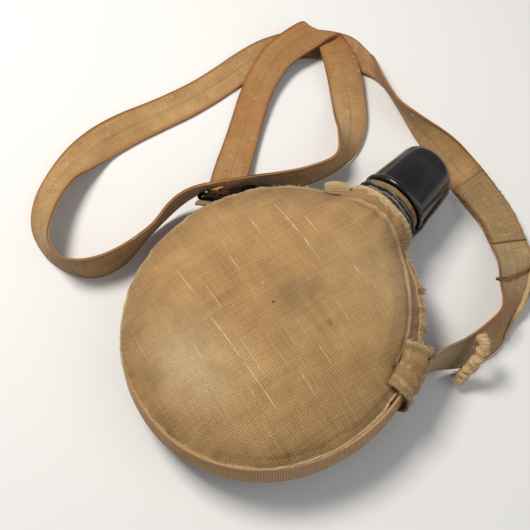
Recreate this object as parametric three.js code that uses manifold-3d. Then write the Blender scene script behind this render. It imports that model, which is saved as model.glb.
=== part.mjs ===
// A padded round water canteen lying on its back: a two-shell metal bottle in
// a sewn canvas cover, a black screw cap on a threaded neck, a webbing band
// round the edge and a long webbing shoulder strap lying free beside it.
// Millimetres. +Z is the front face of the canteen, +Y is the neck.
import * as THREE from 'three';
import { mergeVertices } from 'three/addons/utils/BufferGeometryUtils.js';
import Module from 'manifold-3d';

// ---- driving dimensions -------------------------------------------------
const HALF_W = 94;            // outside half width of the covered body (X)
const HALF_L = 103;           // outside half length of the covered body (Y)
const BODY_T = 64;            // thickness of the covered body
const NECK_Z = 31;            // height of the neck axis above the back
const STRETCH = HALF_L / HALF_W;
const COVER_T = 1.6;          // canvas thickness
const GUSSET_LO = 16.2;       // gusset span in height
const GUSSET_HI = 46.6;
const BAND_W = 24;            // webbing width round the edge
const BAND_T = 1.9;
const SHELL_T = 1.0;          // sheet metal of the bottle
const NECK_R = 15.2;          // outside radius of the neck
const NECK_BORE = 12.6;
const NECK_Y0 = 92;           // inner end of the neck
const NECK_Y1 = 140;          // mouth of the neck
const CAP_Y0 = 122.2;         // open end of the cap
const CAP_Y1 = 169.5;         // top of the cap's dome
const CAP_R = 24.2;           // radius at the open end
const CAP_BORE = 17.6;
const THREAD_PITCH = 5;
const FLOOR_GAP = 0.3;        // lowest the free webbing lies above the surface
const STRAP_T = 1.7;          // thickness of the shoulder webbing
const SHIFT = [0, 0, 0];      // to the middle of the resting footprint
SHIFT[0] = 6.215; SHIFT[1] = -35.6929; SHIFT[2] = 0;

// Shoulder strap: both edges of the webbing, station by station, from the
// steel ring on the left, round two open loops, to the keeper on the right.
const STRAP = [
  [-104.0,39.2,24.9,-83.6,56.9,26.0],
  [-116.5,55.2,14.1,-95.3,71.7,15.2],
  [-128.5,72.7,6.5,-106.0,87.3,7.8],
  [-139.3,91.8,2.2,-116.4,105.2,5.4],
  [-150.7,112.2,1.2,-127.9,124.7,6.4],
  [-162.3,133.8,2.9,-138.4,144.3,8.1],
  [-171.3,156.5,7.2,-145.4,163.4,9.2],
  [-175.5,182.5,12.4,-148.2,183.0,10.8],
  [-170.2,213.7,16.0,-143.4,206.4,13.6],
  [-163.7,221.3,15.9,-138.9,230.1,14.0],
  [-149.4,209.2,15.4,-137.6,233.7,13.8],
  [-126.5,197.3,10.2,-111.3,220.1,10.2],
  [-105.3,180.6,6.2,-87.0,200.8,6.0],
  [-87.8,164.1,12.8,-67.1,178.9,4.2],
  [-71.4,148.3,24.3,-56.6,153.6,2.5],
  [-57.7,129.3,27.8,-58.7,129.8,1.2],
  [-65.4,107.1,28.1,-67.1,106.1,1.2],
  [-77.0,86.6,30.9,-84.3,79.6,6.6],
  [-82.6,72.7,37.7,-96.0,58.0,20.5],
  [-82.8,63.4,46.7,-97.2,45.5,32.9],
  [-92.7,41.9,54.1,-92.6,53.4,34.0],
  [-108.3,29.3,42.8,-103.6,49.8,26.6],
  [-116.3,15.5,31.8,-119.6,29.1,9.4],
  [-114.8,-5.3,27.4,-122.0,-2.8,1.5],
  [-117.6,-30.8,28.1,-118.2,-31.4,1.2],
  [-126.4,-52.3,28.2,-124.8,-53.2,1.3],
  [-141.2,-64.7,28.2,-142.4,-64.4,1.2],
  [-158.4,-61.7,29.3,-163.8,-67.8,3.6],
  [-171.6,-47.8,27.6,-184.7,-61.7,8.5],
  [-182.2,-31.6,23.5,-201.3,-45.3,10.3],
  [-189.3,-14.0,18.3,-212.7,-23.6,9.0],
  [-192.2,3.5,9.7,-219.0,0.1,10.1],
  [-193.4,21.9,2.5,-218.8,24.4,11.9],
  [-189.8,43.5,1.2,-215.4,49.4,9.6],
  [-183.2,67.7,1.2,-209.8,75.2,5.0],
  [-176.3,92.0,1.2,-203.1,98.9,3.7],
  [-171.8,115.0,1.2,-198.8,119.5,2.9],
  [-169.2,136.2,1.3,-196.0,139.5,2.7],
  [-166.9,156.7,1.5,-193.4,161.0,3.5],
  [-162.7,175.7,1.5,-188.1,184.4,4.4],
  [-154.8,192.3,1.8,-176.8,207.4,4.8],
  [-142.2,205.7,1.6,-158.3,226.9,5.6],
  [-125.2,214.0,3.4,-134.1,239.3,5.8],
  [-106.2,219.1,3.3,-117.8,243.0,2.7],
  [-98.5,226.8,1.1,-119.6,239.4,10.7],
  [-91.7,228.3,2.3,-102.9,222.9,25.9],
  [-65.0,215.3,3.4,-69.1,204.1,27.6],
  [-35.4,200.6,1.2,-34.5,199.7,28.1],
  [-10.1,190.2,1.2,-5.3,203.2,24.3],
  [11.4,181.8,1.6,18.2,203.4,16.6],
  [31.6,175.0,3.8,39.5,199.9,10.8],
  [49.5,167.9,7.5,61.5,192.1,8.6],
  [66.1,157.3,10.0,81.9,179.2,9.4],
  [80.1,145.8,15.6,100.6,163.0,12.0],
  [90.9,131.0,21.2,111.5,141.7,7.6],
  [103.0,115.1,25.4,113.7,119.1,1.2],
  [102.8,98.2,24.6,118.1,97.0,2.3],
  [99.2,80.1,25.4,111.0,75.1,1.8],
  [90.8,61.7,27.1,96.7,57.1,1.2],
  [80.6,43.1,28.1,82.0,41.6,1.2]
];
const ADJ_S = 0.912;          // where along the strap the wire slide sits

// ---- helpers --------------------------------------------------------------
const wasm = await Module();
wasm.setup();

// make every face point outwards
function outward(geo) {
  const g = geo.clone(), p = g.attributes.position;
  const id = g.index ? Array.from(g.index.array) : Array.from({ length: p.count }, (_, i) => i);
  let vol = 0; const P = (i) => new THREE.Vector3().fromBufferAttribute(p, i);
  for (let i = 0; i < id.length; i += 3) vol += P(id[i]).dot(P(id[i + 1]).cross(P(id[i + 2])));
  if (vol < 0) for (let i = 0; i < id.length; i += 3) { const t = id[i + 1]; id[i + 1] = id[i + 2]; id[i + 2] = t; }
  g.setIndex(id);
  return g;
}
function toManifold(geo) {
  const g = outward(geo);
  g.deleteAttribute('normal'); g.deleteAttribute('uv');
  const m = mergeVertices(g, 1e-4);
  return new wasm.Manifold(new wasm.Mesh({
    numProp: 3,
    vertProperties: new Float32Array(m.attributes.position.array),
    triVerts: new Uint32Array(m.index.array),
  }));
}
function fromManifold(man) {
  const m = man.getMesh();
  const g = new THREE.BufferGeometry();
  g.setAttribute('position', new THREE.BufferAttribute(new Float32Array(m.vertProperties), 3));
  g.setIndex(new THREE.BufferAttribute(new Uint32Array(m.triVerts), 1));
  return g;
}
const cut = (a, ...bs) => { let m = toManifold(a); for (const b of bs) m = m.subtract(toManifold(b)); return fromManifold(m); };
const join = (a, ...bs) => { let m = toManifold(a); for (const b of bs) m = m.add(toManifold(b)); return fromManifold(m); };
const V = (x, y, z) => new THREE.Vector3(x, y, z);

// closed solid from a list of equal-length closed rings of points
function loft(rings, closed = false) {
  const n = rings[0].length, k = rings.length, pos = [], idx = [];
  for (const r of rings) for (const p of r) pos.push(p.x, p.y, p.z);
  const last = closed ? k : k - 1;
  for (let i = 0; i < last; i++) {
    const a = i * n, b = ((i + 1) % k) * n;
    for (let j = 0; j < n; j++) {
      const j2 = (j + 1) % n;
      idx.push(a + j, a + j2, b + j2, a + j, b + j2, b + j);
    }
  }
  if (!closed) {
    for (let j = 1; j < n - 1; j++) {
      idx.push(0, j + 1, j);
      const o = (k - 1) * n; idx.push(o, o + j, o + j + 1);
    }
  }
  const g = new THREE.BufferGeometry();
  g.setAttribute('position', new THREE.Float32BufferAttribute(pos, 3));
  g.setIndex(idx);
  return outward(g);
}
// revolve an (r, z) outline about Z, stretched along Y
function turned(profile, seg, stretch = 1) {
  const g = new THREE.LatheGeometry(profile.map(([r, z]) => new THREE.Vector2(r, z)), seg);
  g.rotateX(Math.PI / 2); g.scale(1, stretch, 1);
  const m = toManifold(g);
  return fromManifold(m);
}
// revolve an (r, y) outline about the neck axis
function onNeck(profile, seg) {
  const g = new THREE.LatheGeometry(profile.map(([r, y]) => new THREE.Vector2(r, y)), seg);
  g.translate(0, 0, NECK_Z);
  return g;
}
function cylY(r, y0, y1, x = 0, z = NECK_Z, seg = 40) {
  const g = new THREE.CylinderGeometry(r, r, y1 - y0, seg);
  g.translate(x, (y0 + y1) / 2, z);
  return g;
}
// flat strip following a path: c = centres, w = width vectors, t = thickness
function strip(c, w, t) {
  const rings = c.map((p, i) => {
    const a = c[Math.max(0, i - 1)], b = c[Math.min(c.length - 1, i + 1)];
    const T = b.clone().sub(a).normalize();
    const W = w[i].clone(); W.sub(T.clone().multiplyScalar(W.dot(T)));
    const N = T.clone().cross(W).normalize().multiplyScalar(t / 2);
    const h = W.multiplyScalar(0.5);
    const q = [
      p.clone().add(h).add(N), p.clone().sub(h).add(N),
      p.clone().sub(h).sub(N), p.clone().add(h).sub(N),
    ];
    for (const v of q) v.z = Math.max(v.z, FLOOR_GAP);   // nothing below the surface it lies on
    return q;
  });
  return loft(rings);
}
// round bar along a path
function bar(pts, r, seg = 10, closed = false) {
  const curve = new THREE.CatmullRomCurve3(pts, closed, 'centripetal');
  const steps = closed ? 44 : 26;
  if (!closed) {
    const sh = new THREE.Shape(); sh.absarc(0, 0, r, 0, Math.PI * 2, false);
    const g = new THREE.ExtrudeGeometry(sh, { steps, extrudePath: curve, curveSegments: seg, bevelEnabled: false });
    return fromManifold(toManifold(g));
  }
  // closed loop: rings of points about the path, joined end to end
  const c = curve.getSpacedPoints(steps).slice(0, steps);
  const mid = c.reduce((s, p) => s.add(p), V(0, 0, 0)).multiplyScalar(1 / steps);
  const up = c[0].clone().sub(mid).cross(c[Math.floor(steps / 4)].clone().sub(mid)).normalize();
  const rings = c.map((p, i) => {
    const T = c[(i + 1) % steps].clone().sub(c[(i + steps - 1) % steps]).normalize();
    const S = T.clone().cross(up).normalize(), U = S.clone().cross(T).normalize();
    return Array.from({ length: seg }, (_, k) => {
      const a = 2 * Math.PI * k / seg;
      return p.clone().addScaledVector(S, r * Math.cos(a)).addScaledVector(U, r * Math.sin(a));
    });
  });
  return loft(rings, true);
}
const onEdge = (deg, r, z) => V(r * Math.cos(deg * Math.PI / 180), r * STRETCH * Math.sin(deg * Math.PI / 180), z);

// ---- materials ------------------------------------------------------------
const mat = (name, color, roughness, metalness = 0) => {
  const m = new THREE.MeshStandardMaterial({ color, roughness, metalness }); m.name = name; return m;
};
const CANVAS = () => mat('canvas', 0x9a7a50, 0.95);
const WEB = () => mat('webbing', 0x94744c, 0.93);
const ALU = () => mat('aluminium', 0xa8a9a6, 0.42, 0.9);
const BLACK = () => mat('cap_black', 0x0c0a0a, 0.22);
const STEEL = () => mat('blackened_steel', 0x17161a, 0.38, 0.8);
const HIDE = () => mat('old_leather', 0x3a332c, 0.6);
const COPPER = () => mat('rusty_wire', 0x8a4f28, 0.5, 0.7);
const FELT = () => mat('felt', 0x8c7350, 0.9);

const group = new THREE.Group();
group.name = 'canteen';
function put(name, geo, material) {
  const g = outward(geo); g.translate(SHIFT[0], SHIFT[1], SHIFT[2]);
  g.computeVertexNormals();
  const m = new THREE.Mesh(g, material); m.name = name; group.add(m); return m;
}

// ---- the bottle -------------------------------------------------------------
const SEG = 60;
const neckHole = cylY(NECK_R + 0.3, 70, 130);
{
  const outer = [[0, 60.6], [34, 59.9], [56, 57.2], [71, 52.2], [80, 45.8], [85.2, 38.5], [86.6, NECK_Z + 0.2]];
  const inner = [[86.6 - SHELL_T, NECK_Z + 0.2], [84.2, 38.2], [79.2, 45.1], [70.4, 51.3], [55.7, 56.2], [33.9, 58.9], [0, 59.6]];
  put('bottle_front_shell', cut(turned([...outer, ...inner], SEG, STRETCH), neckHole), ALU());
  const fl = (p) => p.map(([r, z]) => [r, 2 * NECK_Z - z]);
  // back shell is flatter: the back of the bottle is pressed nearly flat
  const outerB = [[0, 2.4], [46, 2.4], [62, 4.6], [74, 9.2], [81.5, 15.5], [85.4, 22.5], [86.6, NECK_Z - 0.2]];
  const innerB = [[86.6 - SHELL_T, NECK_Z - 0.2], [84.4, 22.8], [80.7, 16.2], [73.5, 10.1], [61.8, 5.6], [46, 3.4], [0, 3.4]];
  put('bottle_back_shell', cut(turned([...outerB, ...innerB], SEG, STRETCH), neckHole), ALU());
}
{
  // threaded neck with a shoulder that sits outside the bottle
  const p = [[NECK_BORE, NECK_Y0 - 2], [NECK_R, NECK_Y0 - 2], [NECK_R, 104.4], [23, 104.4], [22.4, 105.6], [NECK_R, 106.8]];
  for (let k = 0; k < 3; k++) {
    const y = 123.4 + k * THREAD_PITCH;
    p.push([NECK_R, y], [NECK_R + 1.3, y + 1.2], [NECK_R + 1.3, y + 1.9], [NECK_R, y + 3.1]);
  }
  p.push([NECK_R, NECK_Y1 - 0.6], [NECK_R - 0.6, NECK_Y1], [NECK_BORE, NECK_Y1], [NECK_BORE, NECK_Y0 - 2]);
  put('threaded_neck', onNeck(p, 32), ALU());
}

// ---- the cover ----------------------------------------------------------------
const coverHole = cylY(25.2, 60, 140);
{
  const o = [[0, 64], [30, 63.6], [50, 62.2], [66, 58.6], [78, 53.4], [86, 48.2], [89.4, 46.9]];
  const i = [[89.4, 45.3], [85.4, 46.5], [77.2, 51.7], [65.4, 56.9], [49.7, 60.5], [29.9, 61.9], [0, 62.3]];
  put('cover_front_panel', cut(turned([...o, ...i], SEG, STRETCH), coverHole), CANVAS());
  const ob = [[0, 0], [56, 0], [68, 2.2], [79, 7.2], [86, 12.6], [89.4, 15.8]];
  const ib = [[87.8, 16], [84.8, 13.8], [78, 8.8], [67.4, 3.8], [55.8, 1.6], [0, 1.6]];
  put('cover_back_panel', cut(turned([...ob, ...ib], SEG, STRETCH), coverHole), CANVAS());
  const g = [[89.6, GUSSET_HI - 2.2], [91.5, GUSSET_HI - 4], [92, 38], [92, 24], [91.4, GUSSET_LO + 2], [89.7, GUSSET_LO + 0.4],
    [88, GUSSET_LO + 0.4], [89.8, GUSSET_LO + 3], [90.4, 24.6], [90.4, 37.6], [89.9, GUSSET_HI - 5], [88, GUSSET_HI - 2.2], [89.6, GUSSET_HI - 2.2]];
  put('cover_gusset', cut(turned(g, SEG, STRETCH), coverHole), CANVAS());
  // sewn seam edge standing up round each panel
  const welt = (r0, z0, r1, z1) => turned([[r0, z0], [r1, z0], [r1, z1], [r0, z1], [r0, z0]], SEG, STRETCH);
  const seamHole = cylY(29.2, 60, 140);
  put('front_seam_edge', cut(welt(89.8, 44.8, 92.4, 47.2), seamHole), CANVAS());
  put('back_seam_edge', cut(welt(89.9, 14.0, 92.3, 16.3), seamHole), CANVAS());
}
{
  // hem round the neck opening, between the cover and the collar
  const p = [[25.6, 94], [27.6, 94], [28.4, 97], [27.8, 102], [26.2, 103.8], [25.6, 102], [25.6, 94]];
  put('neck_opening_hem', cut(onNeck(p, 36),
    turned([[0, 63.9], [30, 63.4], [50, 61.8], [66, 57.8], [78, 52.6], [93, 45.6], [93, 15.8], [86, 12.6], [79, 7.2], [68, 2.2], [56, -1], [0, -1]], SEG, (HALF_L - 0.4) / (HALF_W - 1.6))), CANVAS());
}

// ---- webbing round the edge -----------------------------------------------------
const arcStrip = (d0, d1, n, r, z, w, t, tiltDeg = 0) => {
  const c = [], ws = [];
  for (let i = 0; i <= n; i++) {
    const d = d0 + (d1 - d0) * i / n;
    c.push(onEdge(d, r, z)); ws.push(V(0, 0, w));
  }
  return strip(c, ws, t);
};
put('edge_webbing', arcStrip(9, -199, 56, 93.9, 31, BAND_W, BAND_T), WEB());
{
  // keeper on the right: a folded canvas loop, open above and below, that the
  // strap comes out of
  const rings = []; const d0 = 10.5, d1 = 25.5;
  for (let i = 0; i <= 8; i++) {
    const d = d0 + (d1 - d0) * i / 8;
    const sec = [];
    for (const [r, z] of [[92.7, 14.4], [98.2, 15.4], [99.6, 18], [99.6, 44], [98, 46.4], [92.7, 47.4], [92.7, 45.6], [97.4, 44.6], [97.8, 43], [97.8, 19], [97.4, 17.4], [92.7, 16.4]]) sec.push(onEdge(d, r, z));
    rings.push(sec);
  }
  put('keeper_loop', loftHollow(rings), CANVAS());
}
// ring of a C section: same number of points each, capped by triangulating the section
function loftHollow(rings) {
  const n = rings[0].length, k = rings.length, pos = [], idx = [];
  for (const r of rings) for (const p of r) pos.push(p.x, p.y, p.z);
  for (let i = 0; i < k - 1; i++) for (let j = 0; j < n; j++) {
    const j2 = (j + 1) % n, a = i * n, b = (i + 1) * n;
    idx.push(a + j, a + j2, b + j2, a + j, b + j2, b + j);
  }
  // section runs out along the outside then back along the inside: quads across
  const h = n / 2;
  for (const [o, flip] of [[0, 1], [(k - 1) * n, 0]]) {
    for (let j = 0; j < h - 1; j++) {
      const q = [o + j, o + j + 1, o + n - 2 - j, o + n - 1 - j];
      if (flip) idx.push(q[0], q[2], q[1], q[0], q[3], q[2]); else idx.push(q[0], q[1], q[2], q[0], q[2], q[3]);
    }
  }
  const g = new THREE.BufferGeometry();
  g.setAttribute('position', new THREE.Float32BufferAttribute(pos, 3)); g.setIndex(idx);
  return outward(g);
}

// ---- left side: tab, steel ring, hook ---------------------------------------------
const RING_C = V(-94.2, 41.5, 27);      // middle of the ring's near bar
const ringT = V(0.815, 0.58, 0).normalize();   // along the bars
const ringN = V(-0.58, 0.815, 0).normalize();  // outward
const at = (s, n, z) => RING_C.clone().addScaledVector(ringT, s).addScaledVector(ringN, n).add(V(0, 0, z));
{
  // webbing tab: rises from the gusset, wraps the near bar of the ring
  const c = [], w = [];
  const path = [[-4.0, 9.5], [-3.8, 6.4], [-3.1, 4.2], [-1.2, 2.9], [1.2, 2.5], [2.5, 1], [2.5, -1.2], [1.0, -2.5], [-1.2, -2.7], [-2.9, -1.4]];
  for (const [n, z] of path) { c.push(at(0, n, z)); w.push(ringT.clone().multiplyScalar(21)); }
  put('ring_tab', strip(c, w, 1.3), WEB());
  // ring: rectangular loop of round bar
  const hw = 14.2, dn = 7.6, r = 3, pts = [];
  const corner = (cx, cn, a0) => { for (let i = 0; i <= 4; i++) { const a = a0 + i * Math.PI / 8; const n = cn + r * Math.sin(a); pts.push(at(cx + r * Math.cos(a), n, -0.8 * n)); } };
  corner(hw - r, dn - r, 0); corner(-hw + r, dn - r, Math.PI / 2); corner(-hw + r, r, Math.PI); corner(hw - r, r, 1.5 * Math.PI);
  put('steel_ring', bar(pts, 1.45, 10, true), STEEL());
  // hook: a flat-backed wire hook beside the ring, its tail pinned along the cover
  const hk = [[-68.5, 78, 31], [-76, 70.8, 31.5], [-79.5, 66.6, 31.6], [-82.2, 64.6, 31.6], [-85, 61.8, 31.6], [-85.4, 58, 31.2], [-83.4, 55.2, 30.4], [-80.8, 53.8, 28.6]].map((p) => V(...p));
  put('steel_hook', bar(hk, 1.35, 10, false), STEEL());
  put('hook_bracket', bracket(), STEEL());
}
function bracket() {
  // small riveted plate on the gusset that the hook's tail runs through
  const c = V(-68.6, 74.1, 31);
  const g = new THREE.BoxGeometry(12, 1.8, 8.4, 2, 1, 2);
  const ang = 48.2 * Math.PI / 180;
  g.rotateZ(ang); g.translate(c.x, c.y, c.z);
  return fromManifold(toManifold(g));
}

// ---- neck collar, gasket, cap --------------------------------------------------------
{
  const collar = [[15.8, 107.1], [23.6, 107.1], [24.8, 108.4], [24.0, 110], [25.2, 111.4], [24.2, 113], [24.6, 114.6], [23.2, 116.6], [15.8, 116.9], [15.8, 107.1]];
  put('neck_collar', onNeck(collar, 36), HIDE());
  put('neck_washer', onNeck([[15.9, 117.3], [21.8, 117.3], [22.6, 118.6], [21.9, 121.2], [17.4, 121.7], [15.9, 121.2], [15.9, 117.3]], 32), FELT());
  const cap = [[CAP_BORE, CAP_Y0], [CAP_R + 0.5, CAP_Y0], [CAP_R + 1.1, CAP_Y0 + 0.9], [CAP_R + 1.1, CAP_Y0 + 2.4], [CAP_R + 0.3, CAP_Y0 + 3.4],
    [23.9, 130], [22.6, 145], [21.6, 157], [20.9, 161.5], [19.3, 165], [16.2, 167.6], [11, 169.1], [5.2, CAP_Y1], [0, CAP_Y1],
    [0, 151], [16.4, 151], [17.2, 149.6]];
  for (let k = 2; k >= 0; k--) {
    const y = 126.3 + k * THREAD_PITCH;
    cap.push([CAP_BORE, y + 2.6], [CAP_BORE - 0.7, y + 1.7], [CAP_BORE - 0.7, y + 0.9], [CAP_BORE, y]);
  }
  cap.push([CAP_BORE, CAP_Y0]);
  put('screw_cap', onNeck(cap, 40), BLACK());
  put('cap_seal_disc', onNeck([[0, 140.4], [15.8, 140.4], [16, 140.8], [16, 143.2], [15.6, 143.6], [0, 143.6]], 28), FELT());
  put('cap_stud', onNeck([[0, 169.8], [5.4, 169.8], [5.6, 170.4], [5.2, 171.2], [2.0, 171.4], [2.0, 173.2], [4.2, 173.2], [4.4, 173.9], [3.2, 174.8], [0, 175.2]], 28), STEEL());
  // retaining strap from the collar up the side of the cap and over to the stud
  const dir = V(0.86, 0, -0.51).normalize();
  const wv = V(0, 1, 0).cross(dir).normalize();
  const prof = [[26.6, 109.5], [26.8, 114], [27.0, 120], [27.2, 127], [25.9, 136], [25.2, 146], [24.2, 156], [23.2, 161.5], [21.4, 166], [18.2, 169.2], [14, 171.2], [9.5, 172.2], [5.6, 172.3]];
  const c = prof.map(([r, y]) => V(dir.x * r, y, NECK_Z + dir.z * r));
  let g = strip(c, c.map(() => wv.clone().multiplyScalar(7)), 1.3);
  const eye = cut(cylY(6.6, 171.65, 172.95, 0, NECK_Z, 32), cylY(2.5, 170, 175, 0, NECK_Z, 24));
  g = join(g, eye);
  g = cut(g, cylY(2.5, 170, 175, 0, NECK_Z, 24));
  put('retaining_strap', g, HIDE());
}
{
  // small loose flap of the cover's opening, left of the neck
  const c = [], w = [];
  for (const [x, y, z] of [[-31.5, 98.6, 47.6], [-31.6, 100.6, 48.8], [-31.4, 102.6, 49.8], [-31, 104.6, 50.2], [-30.6, 106.4, 49.6]]) { c.push(V(x, y, z)); w.push(V(15, -6.2, 0.6)); }
  put('opening_flap', strip(c, w, 1.4), CANVAS());
}

// ---- shoulder strap ---------------------------------------------------------------------
{
  const A = STRAP.map((s) => V(s[0], s[1], s[2])), B = STRAP.map((s) => V(s[3], s[4], s[5]));
  const ca = new THREE.CatmullRomCurve3(A, false, 'centripetal'), cb = new THREE.CatmullRomCurve3(B, false, 'centripetal');
  const at2 = (u) => {
    const k = u * (STRAP.length - 1);
    const a = ca.getPoint(k / (STRAP.length - 1)), b = cb.getPoint(k / (STRAP.length - 1));
    return [a.clone().add(b).multiplyScalar(0.5), a.clone().sub(b)];
  };
  const run = (u0, u1, n, t, lift = 0, narrow = 1) => {
    const c = [], w = [];
    for (let i = 0; i <= n; i++) { const [p, q] = at2(u0 + (u1 - u0) * i / n); c.push(p); w.push(q.multiplyScalar(narrow)); }
    if (lift) {
      for (let i = 0; i < c.length; i++) {
        const T = c[Math.min(c.length - 1, i + 1)].clone().sub(c[Math.max(0, i - 1)]).normalize();
        const N = T.cross(w[i]).normalize(); if (N.z < 0) N.negate();
        c[i] = c[i].clone().addScaledVector(N, lift);
      }
    }
    return strip(c, w, t);
  };
  put('shoulder_strap', run(0.0175, ADJ_S - 0.001, 96, STRAP_T), WEB());
  put('strap_lower_end', run(ADJ_S + 0.001, 0.981, 18, STRAP_T), WEB());
  put('strap_doubled_end', run(0.838, ADJ_S - 0.030, 12, 1.3, 3.4, 0.86), WEB());
  // bent copper-coloured wire that locks the strap's length: a flat figure with
  // one leg over the webbing and one under it
  const [p, q] = at2(ADJ_S - 0.012); const [p2] = at2(ADJ_S - 0.03);
  const T = p2.clone().sub(p).normalize(), Wd = q.clone().normalize();
  const N = T.clone().cross(Wd).normalize(); if (N.z < 0) N.negate();
  const P = (s, w, n) => p.clone().addScaledVector(T, s).addScaledVector(Wd, w).addScaledVector(N, n);
  const wire = [];
  // [along, across, above] around the webbing
  for (const [s, w, n] of [[-9, 14.2, 4.0], [-9, 17.2, 2.2], [-7, 17.6, 0.4], [0, 17.8, -0.6], [6, 17.6, -1.8], [8.5, 16.4, -3.2], [9.5, 13.5, -4.8],
    [16, 0, -5.4], [23, -13.5, -4.8], [24, -16.4, -3.2], [22.5, -17.8, -1.6], [16, -18, -0.4], [9, -17.8, 0.6], [7, -16.6, 2.4], [5.6, -14, 4.4], [-1.5, 0, 4.9]]) wire.push(P(s, w, n));
  put('wire_slide', bar(wire, 1.15, 8, true), COPPER());
  // frayed free end of the webbing, rolled on itself
  const tail = [V(104.5, 90.5, 31), V(106.5, 84.5, 32.5), V(108, 77, 30), V(109, 70.5, 22), V(110.5, 65, 12), V(111.5, 61.5, 6)];
  put('strap_frayed_end', bar(tail, 3.4, 10, false), WEB());
}

export default group;
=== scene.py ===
import bpy, math
import numpy as np
from mathutils import Matrix, Vector


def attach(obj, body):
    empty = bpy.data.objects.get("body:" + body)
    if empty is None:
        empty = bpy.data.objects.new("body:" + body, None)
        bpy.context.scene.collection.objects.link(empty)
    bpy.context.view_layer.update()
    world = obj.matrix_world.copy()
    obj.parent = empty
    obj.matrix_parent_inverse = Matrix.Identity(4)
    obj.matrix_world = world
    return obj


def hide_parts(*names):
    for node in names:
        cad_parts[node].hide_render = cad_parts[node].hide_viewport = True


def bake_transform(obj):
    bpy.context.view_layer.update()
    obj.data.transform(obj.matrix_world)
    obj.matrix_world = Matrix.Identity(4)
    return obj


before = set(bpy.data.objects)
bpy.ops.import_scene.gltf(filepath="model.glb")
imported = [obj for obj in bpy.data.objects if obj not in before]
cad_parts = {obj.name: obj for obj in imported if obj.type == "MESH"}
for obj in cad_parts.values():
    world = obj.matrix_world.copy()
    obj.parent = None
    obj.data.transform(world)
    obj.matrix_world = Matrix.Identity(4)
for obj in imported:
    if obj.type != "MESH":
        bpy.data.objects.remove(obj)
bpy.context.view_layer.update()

# ------------------------------------------------------------------ frame
SX, SY = 6.215, -35.6929          # body-centre millimetres to the part's frame


def W(p):
    q = np.array(p, float)
    q[..., 0] += SX
    q[..., 1] += SY
    return q / 1000.0


# ------------------------------------------------------------------ camera
AZ, EL, DIST, LENS = 43.0, 64.5, 0.547, 50.94
a, e = math.radians(AZ), math.radians(EL)
back = Vector((math.sin(a) * math.cos(e), -math.cos(a) * math.cos(e), math.sin(e)))
right = Vector((math.cos(a), math.sin(a), 0))
up = back.cross(right)
target = Vector(W((-43.3, 36.5, 0)).tolist())
cam = bpy.data.objects.new("camera", bpy.data.cameras.new("camera"))
bpy.context.scene.collection.objects.link(cam)
R = Matrix((right, up, back)).transposed().to_4x4()
cam.matrix_world = Matrix.Translation(target + back * DIST) @ R
cam.data.sensor_width = 36
cam.data.lens = LENS
cam.data.clip_start = 0.01
cam.data.dof.use_dof = False
bpy.context.scene.camera = cam


# ------------------------------------------------------------------ noise
def _h(i, j, k, s):
    n = (i * 374761393 + j * 668265263 + k * 1440662683 + s * 974634777) & 0xFFFFFFFF
    n = ((n ^ (n >> 13)) * 1274126177) & 0xFFFFFFFF
    n = ((n ^ (n >> 15)) * 668265263) & 0xFFFFFFFF
    return ((n ^ (n >> 16)) & 0xFFFF) / 32767.5 - 1.0


def noise(p, scale=1.0, seed=0):
    q = np.asarray(p, float) * scale + 1000.0
    i = np.floor(q).astype(np.int64)
    f = q - i
    f = f * f * (3 - 2 * f)
    r = 0
    for dx in (0, 1):
        for dy in (0, 1):
            for dz in (0, 1):
                w = (f[..., 0] if dx else 1 - f[..., 0]) * (f[..., 1] if dy else 1 - f[..., 1]) * (f[..., 2] if dz else 1 - f[..., 2])
                r = r + w * _h(i[..., 0] + dx, i[..., 1] + dy, i[..., 2] + dz, seed)
    return r


def fbm(p, scale=1.0, seed=0, octaves=3):
    r, amp = 0, 1.0
    for o in range(octaves):
        r = r + amp * noise(p, scale * 2 ** o, seed + o * 17)
        amp *= 0.5
    return r / 1.75


def sstep(x, lo, hi):
    t = np.clip((np.asarray(x, float) - lo) / (hi - lo), 0, 1)
    return t * t * (3 - 2 * t)


rng = np.random.RandomState(7)


# ------------------------------------------------------------------ mesh code
def mesh(name, V, F, uv=None, attrs=None, mat=None, smooth=True):
    """V in body-centre millimetres."""
    me = bpy.data.meshes.new(name)
    V = W(V)
    F = np.asarray(F)
    me.vertices.add(len(V))
    me.vertices.foreach_set("co", V.ravel())
    k = F.shape[1]
    me.loops.add(F.size)
    me.loops.foreach_set("vertex_index", F.ravel().astype(np.int32))
    me.polygons.add(len(F))
    me.polygons.foreach_set("loop_start", np.arange(0, F.size, k, dtype=np.int32))
    me.polygons.foreach_set("loop_total", np.full(len(F), k, dtype=np.int32))
    me.polygons.foreach_set("use_smooth", np.full(len(F), smooth))
    if uv is not None:
        l = me.uv_layers.new(name="UVMap")
        l.data.foreach_set("uv", np.asarray(uv, float)[F.ravel()].ravel())
    for n, v in (attrs or {}).items():
        at = me.attributes.new(n, "FLOAT", "POINT")
        at.data.foreach_set("value", np.asarray(v, float).ravel())
    me.update(calc_edges=True)
    me.validate()
    ob = bpy.data.objects.new(name, me)
    bpy.context.scene.collection.objects.link(ob)
    if mat:
        me.materials.append(mat)
    return ob


def grid_faces(n, m, wrap_n=False, wrap_m=False, off=0, flip=False):
    i = np.arange(n if wrap_n else n - 1)
    j = np.arange(m if wrap_m else m - 1)
    I, J = np.meshgrid(i, j, indexing="ij")
    I2, J2 = (I + 1) % n, (J + 1) % m
    q = np.stack([I * m + J, I2 * m + J, I2 * m + J2, I * m + J2], -1).reshape(-1, 4) + off
    return q[:, ::-1] if flip else q


def grid_normals(P, wrap_n=False, wrap_m=False):
    def d(A, ax, wrap):
        if wrap:
            return np.roll(A, -1, ax) - np.roll(A, 1, ax)
        return np.gradient(A, axis=ax)
    N = np.cross(d(P, 0, wrap_n), d(P, 1, wrap_m))
    return N / (np.linalg.norm(N, axis=-1, keepdims=True) + 1e-9)


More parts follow.
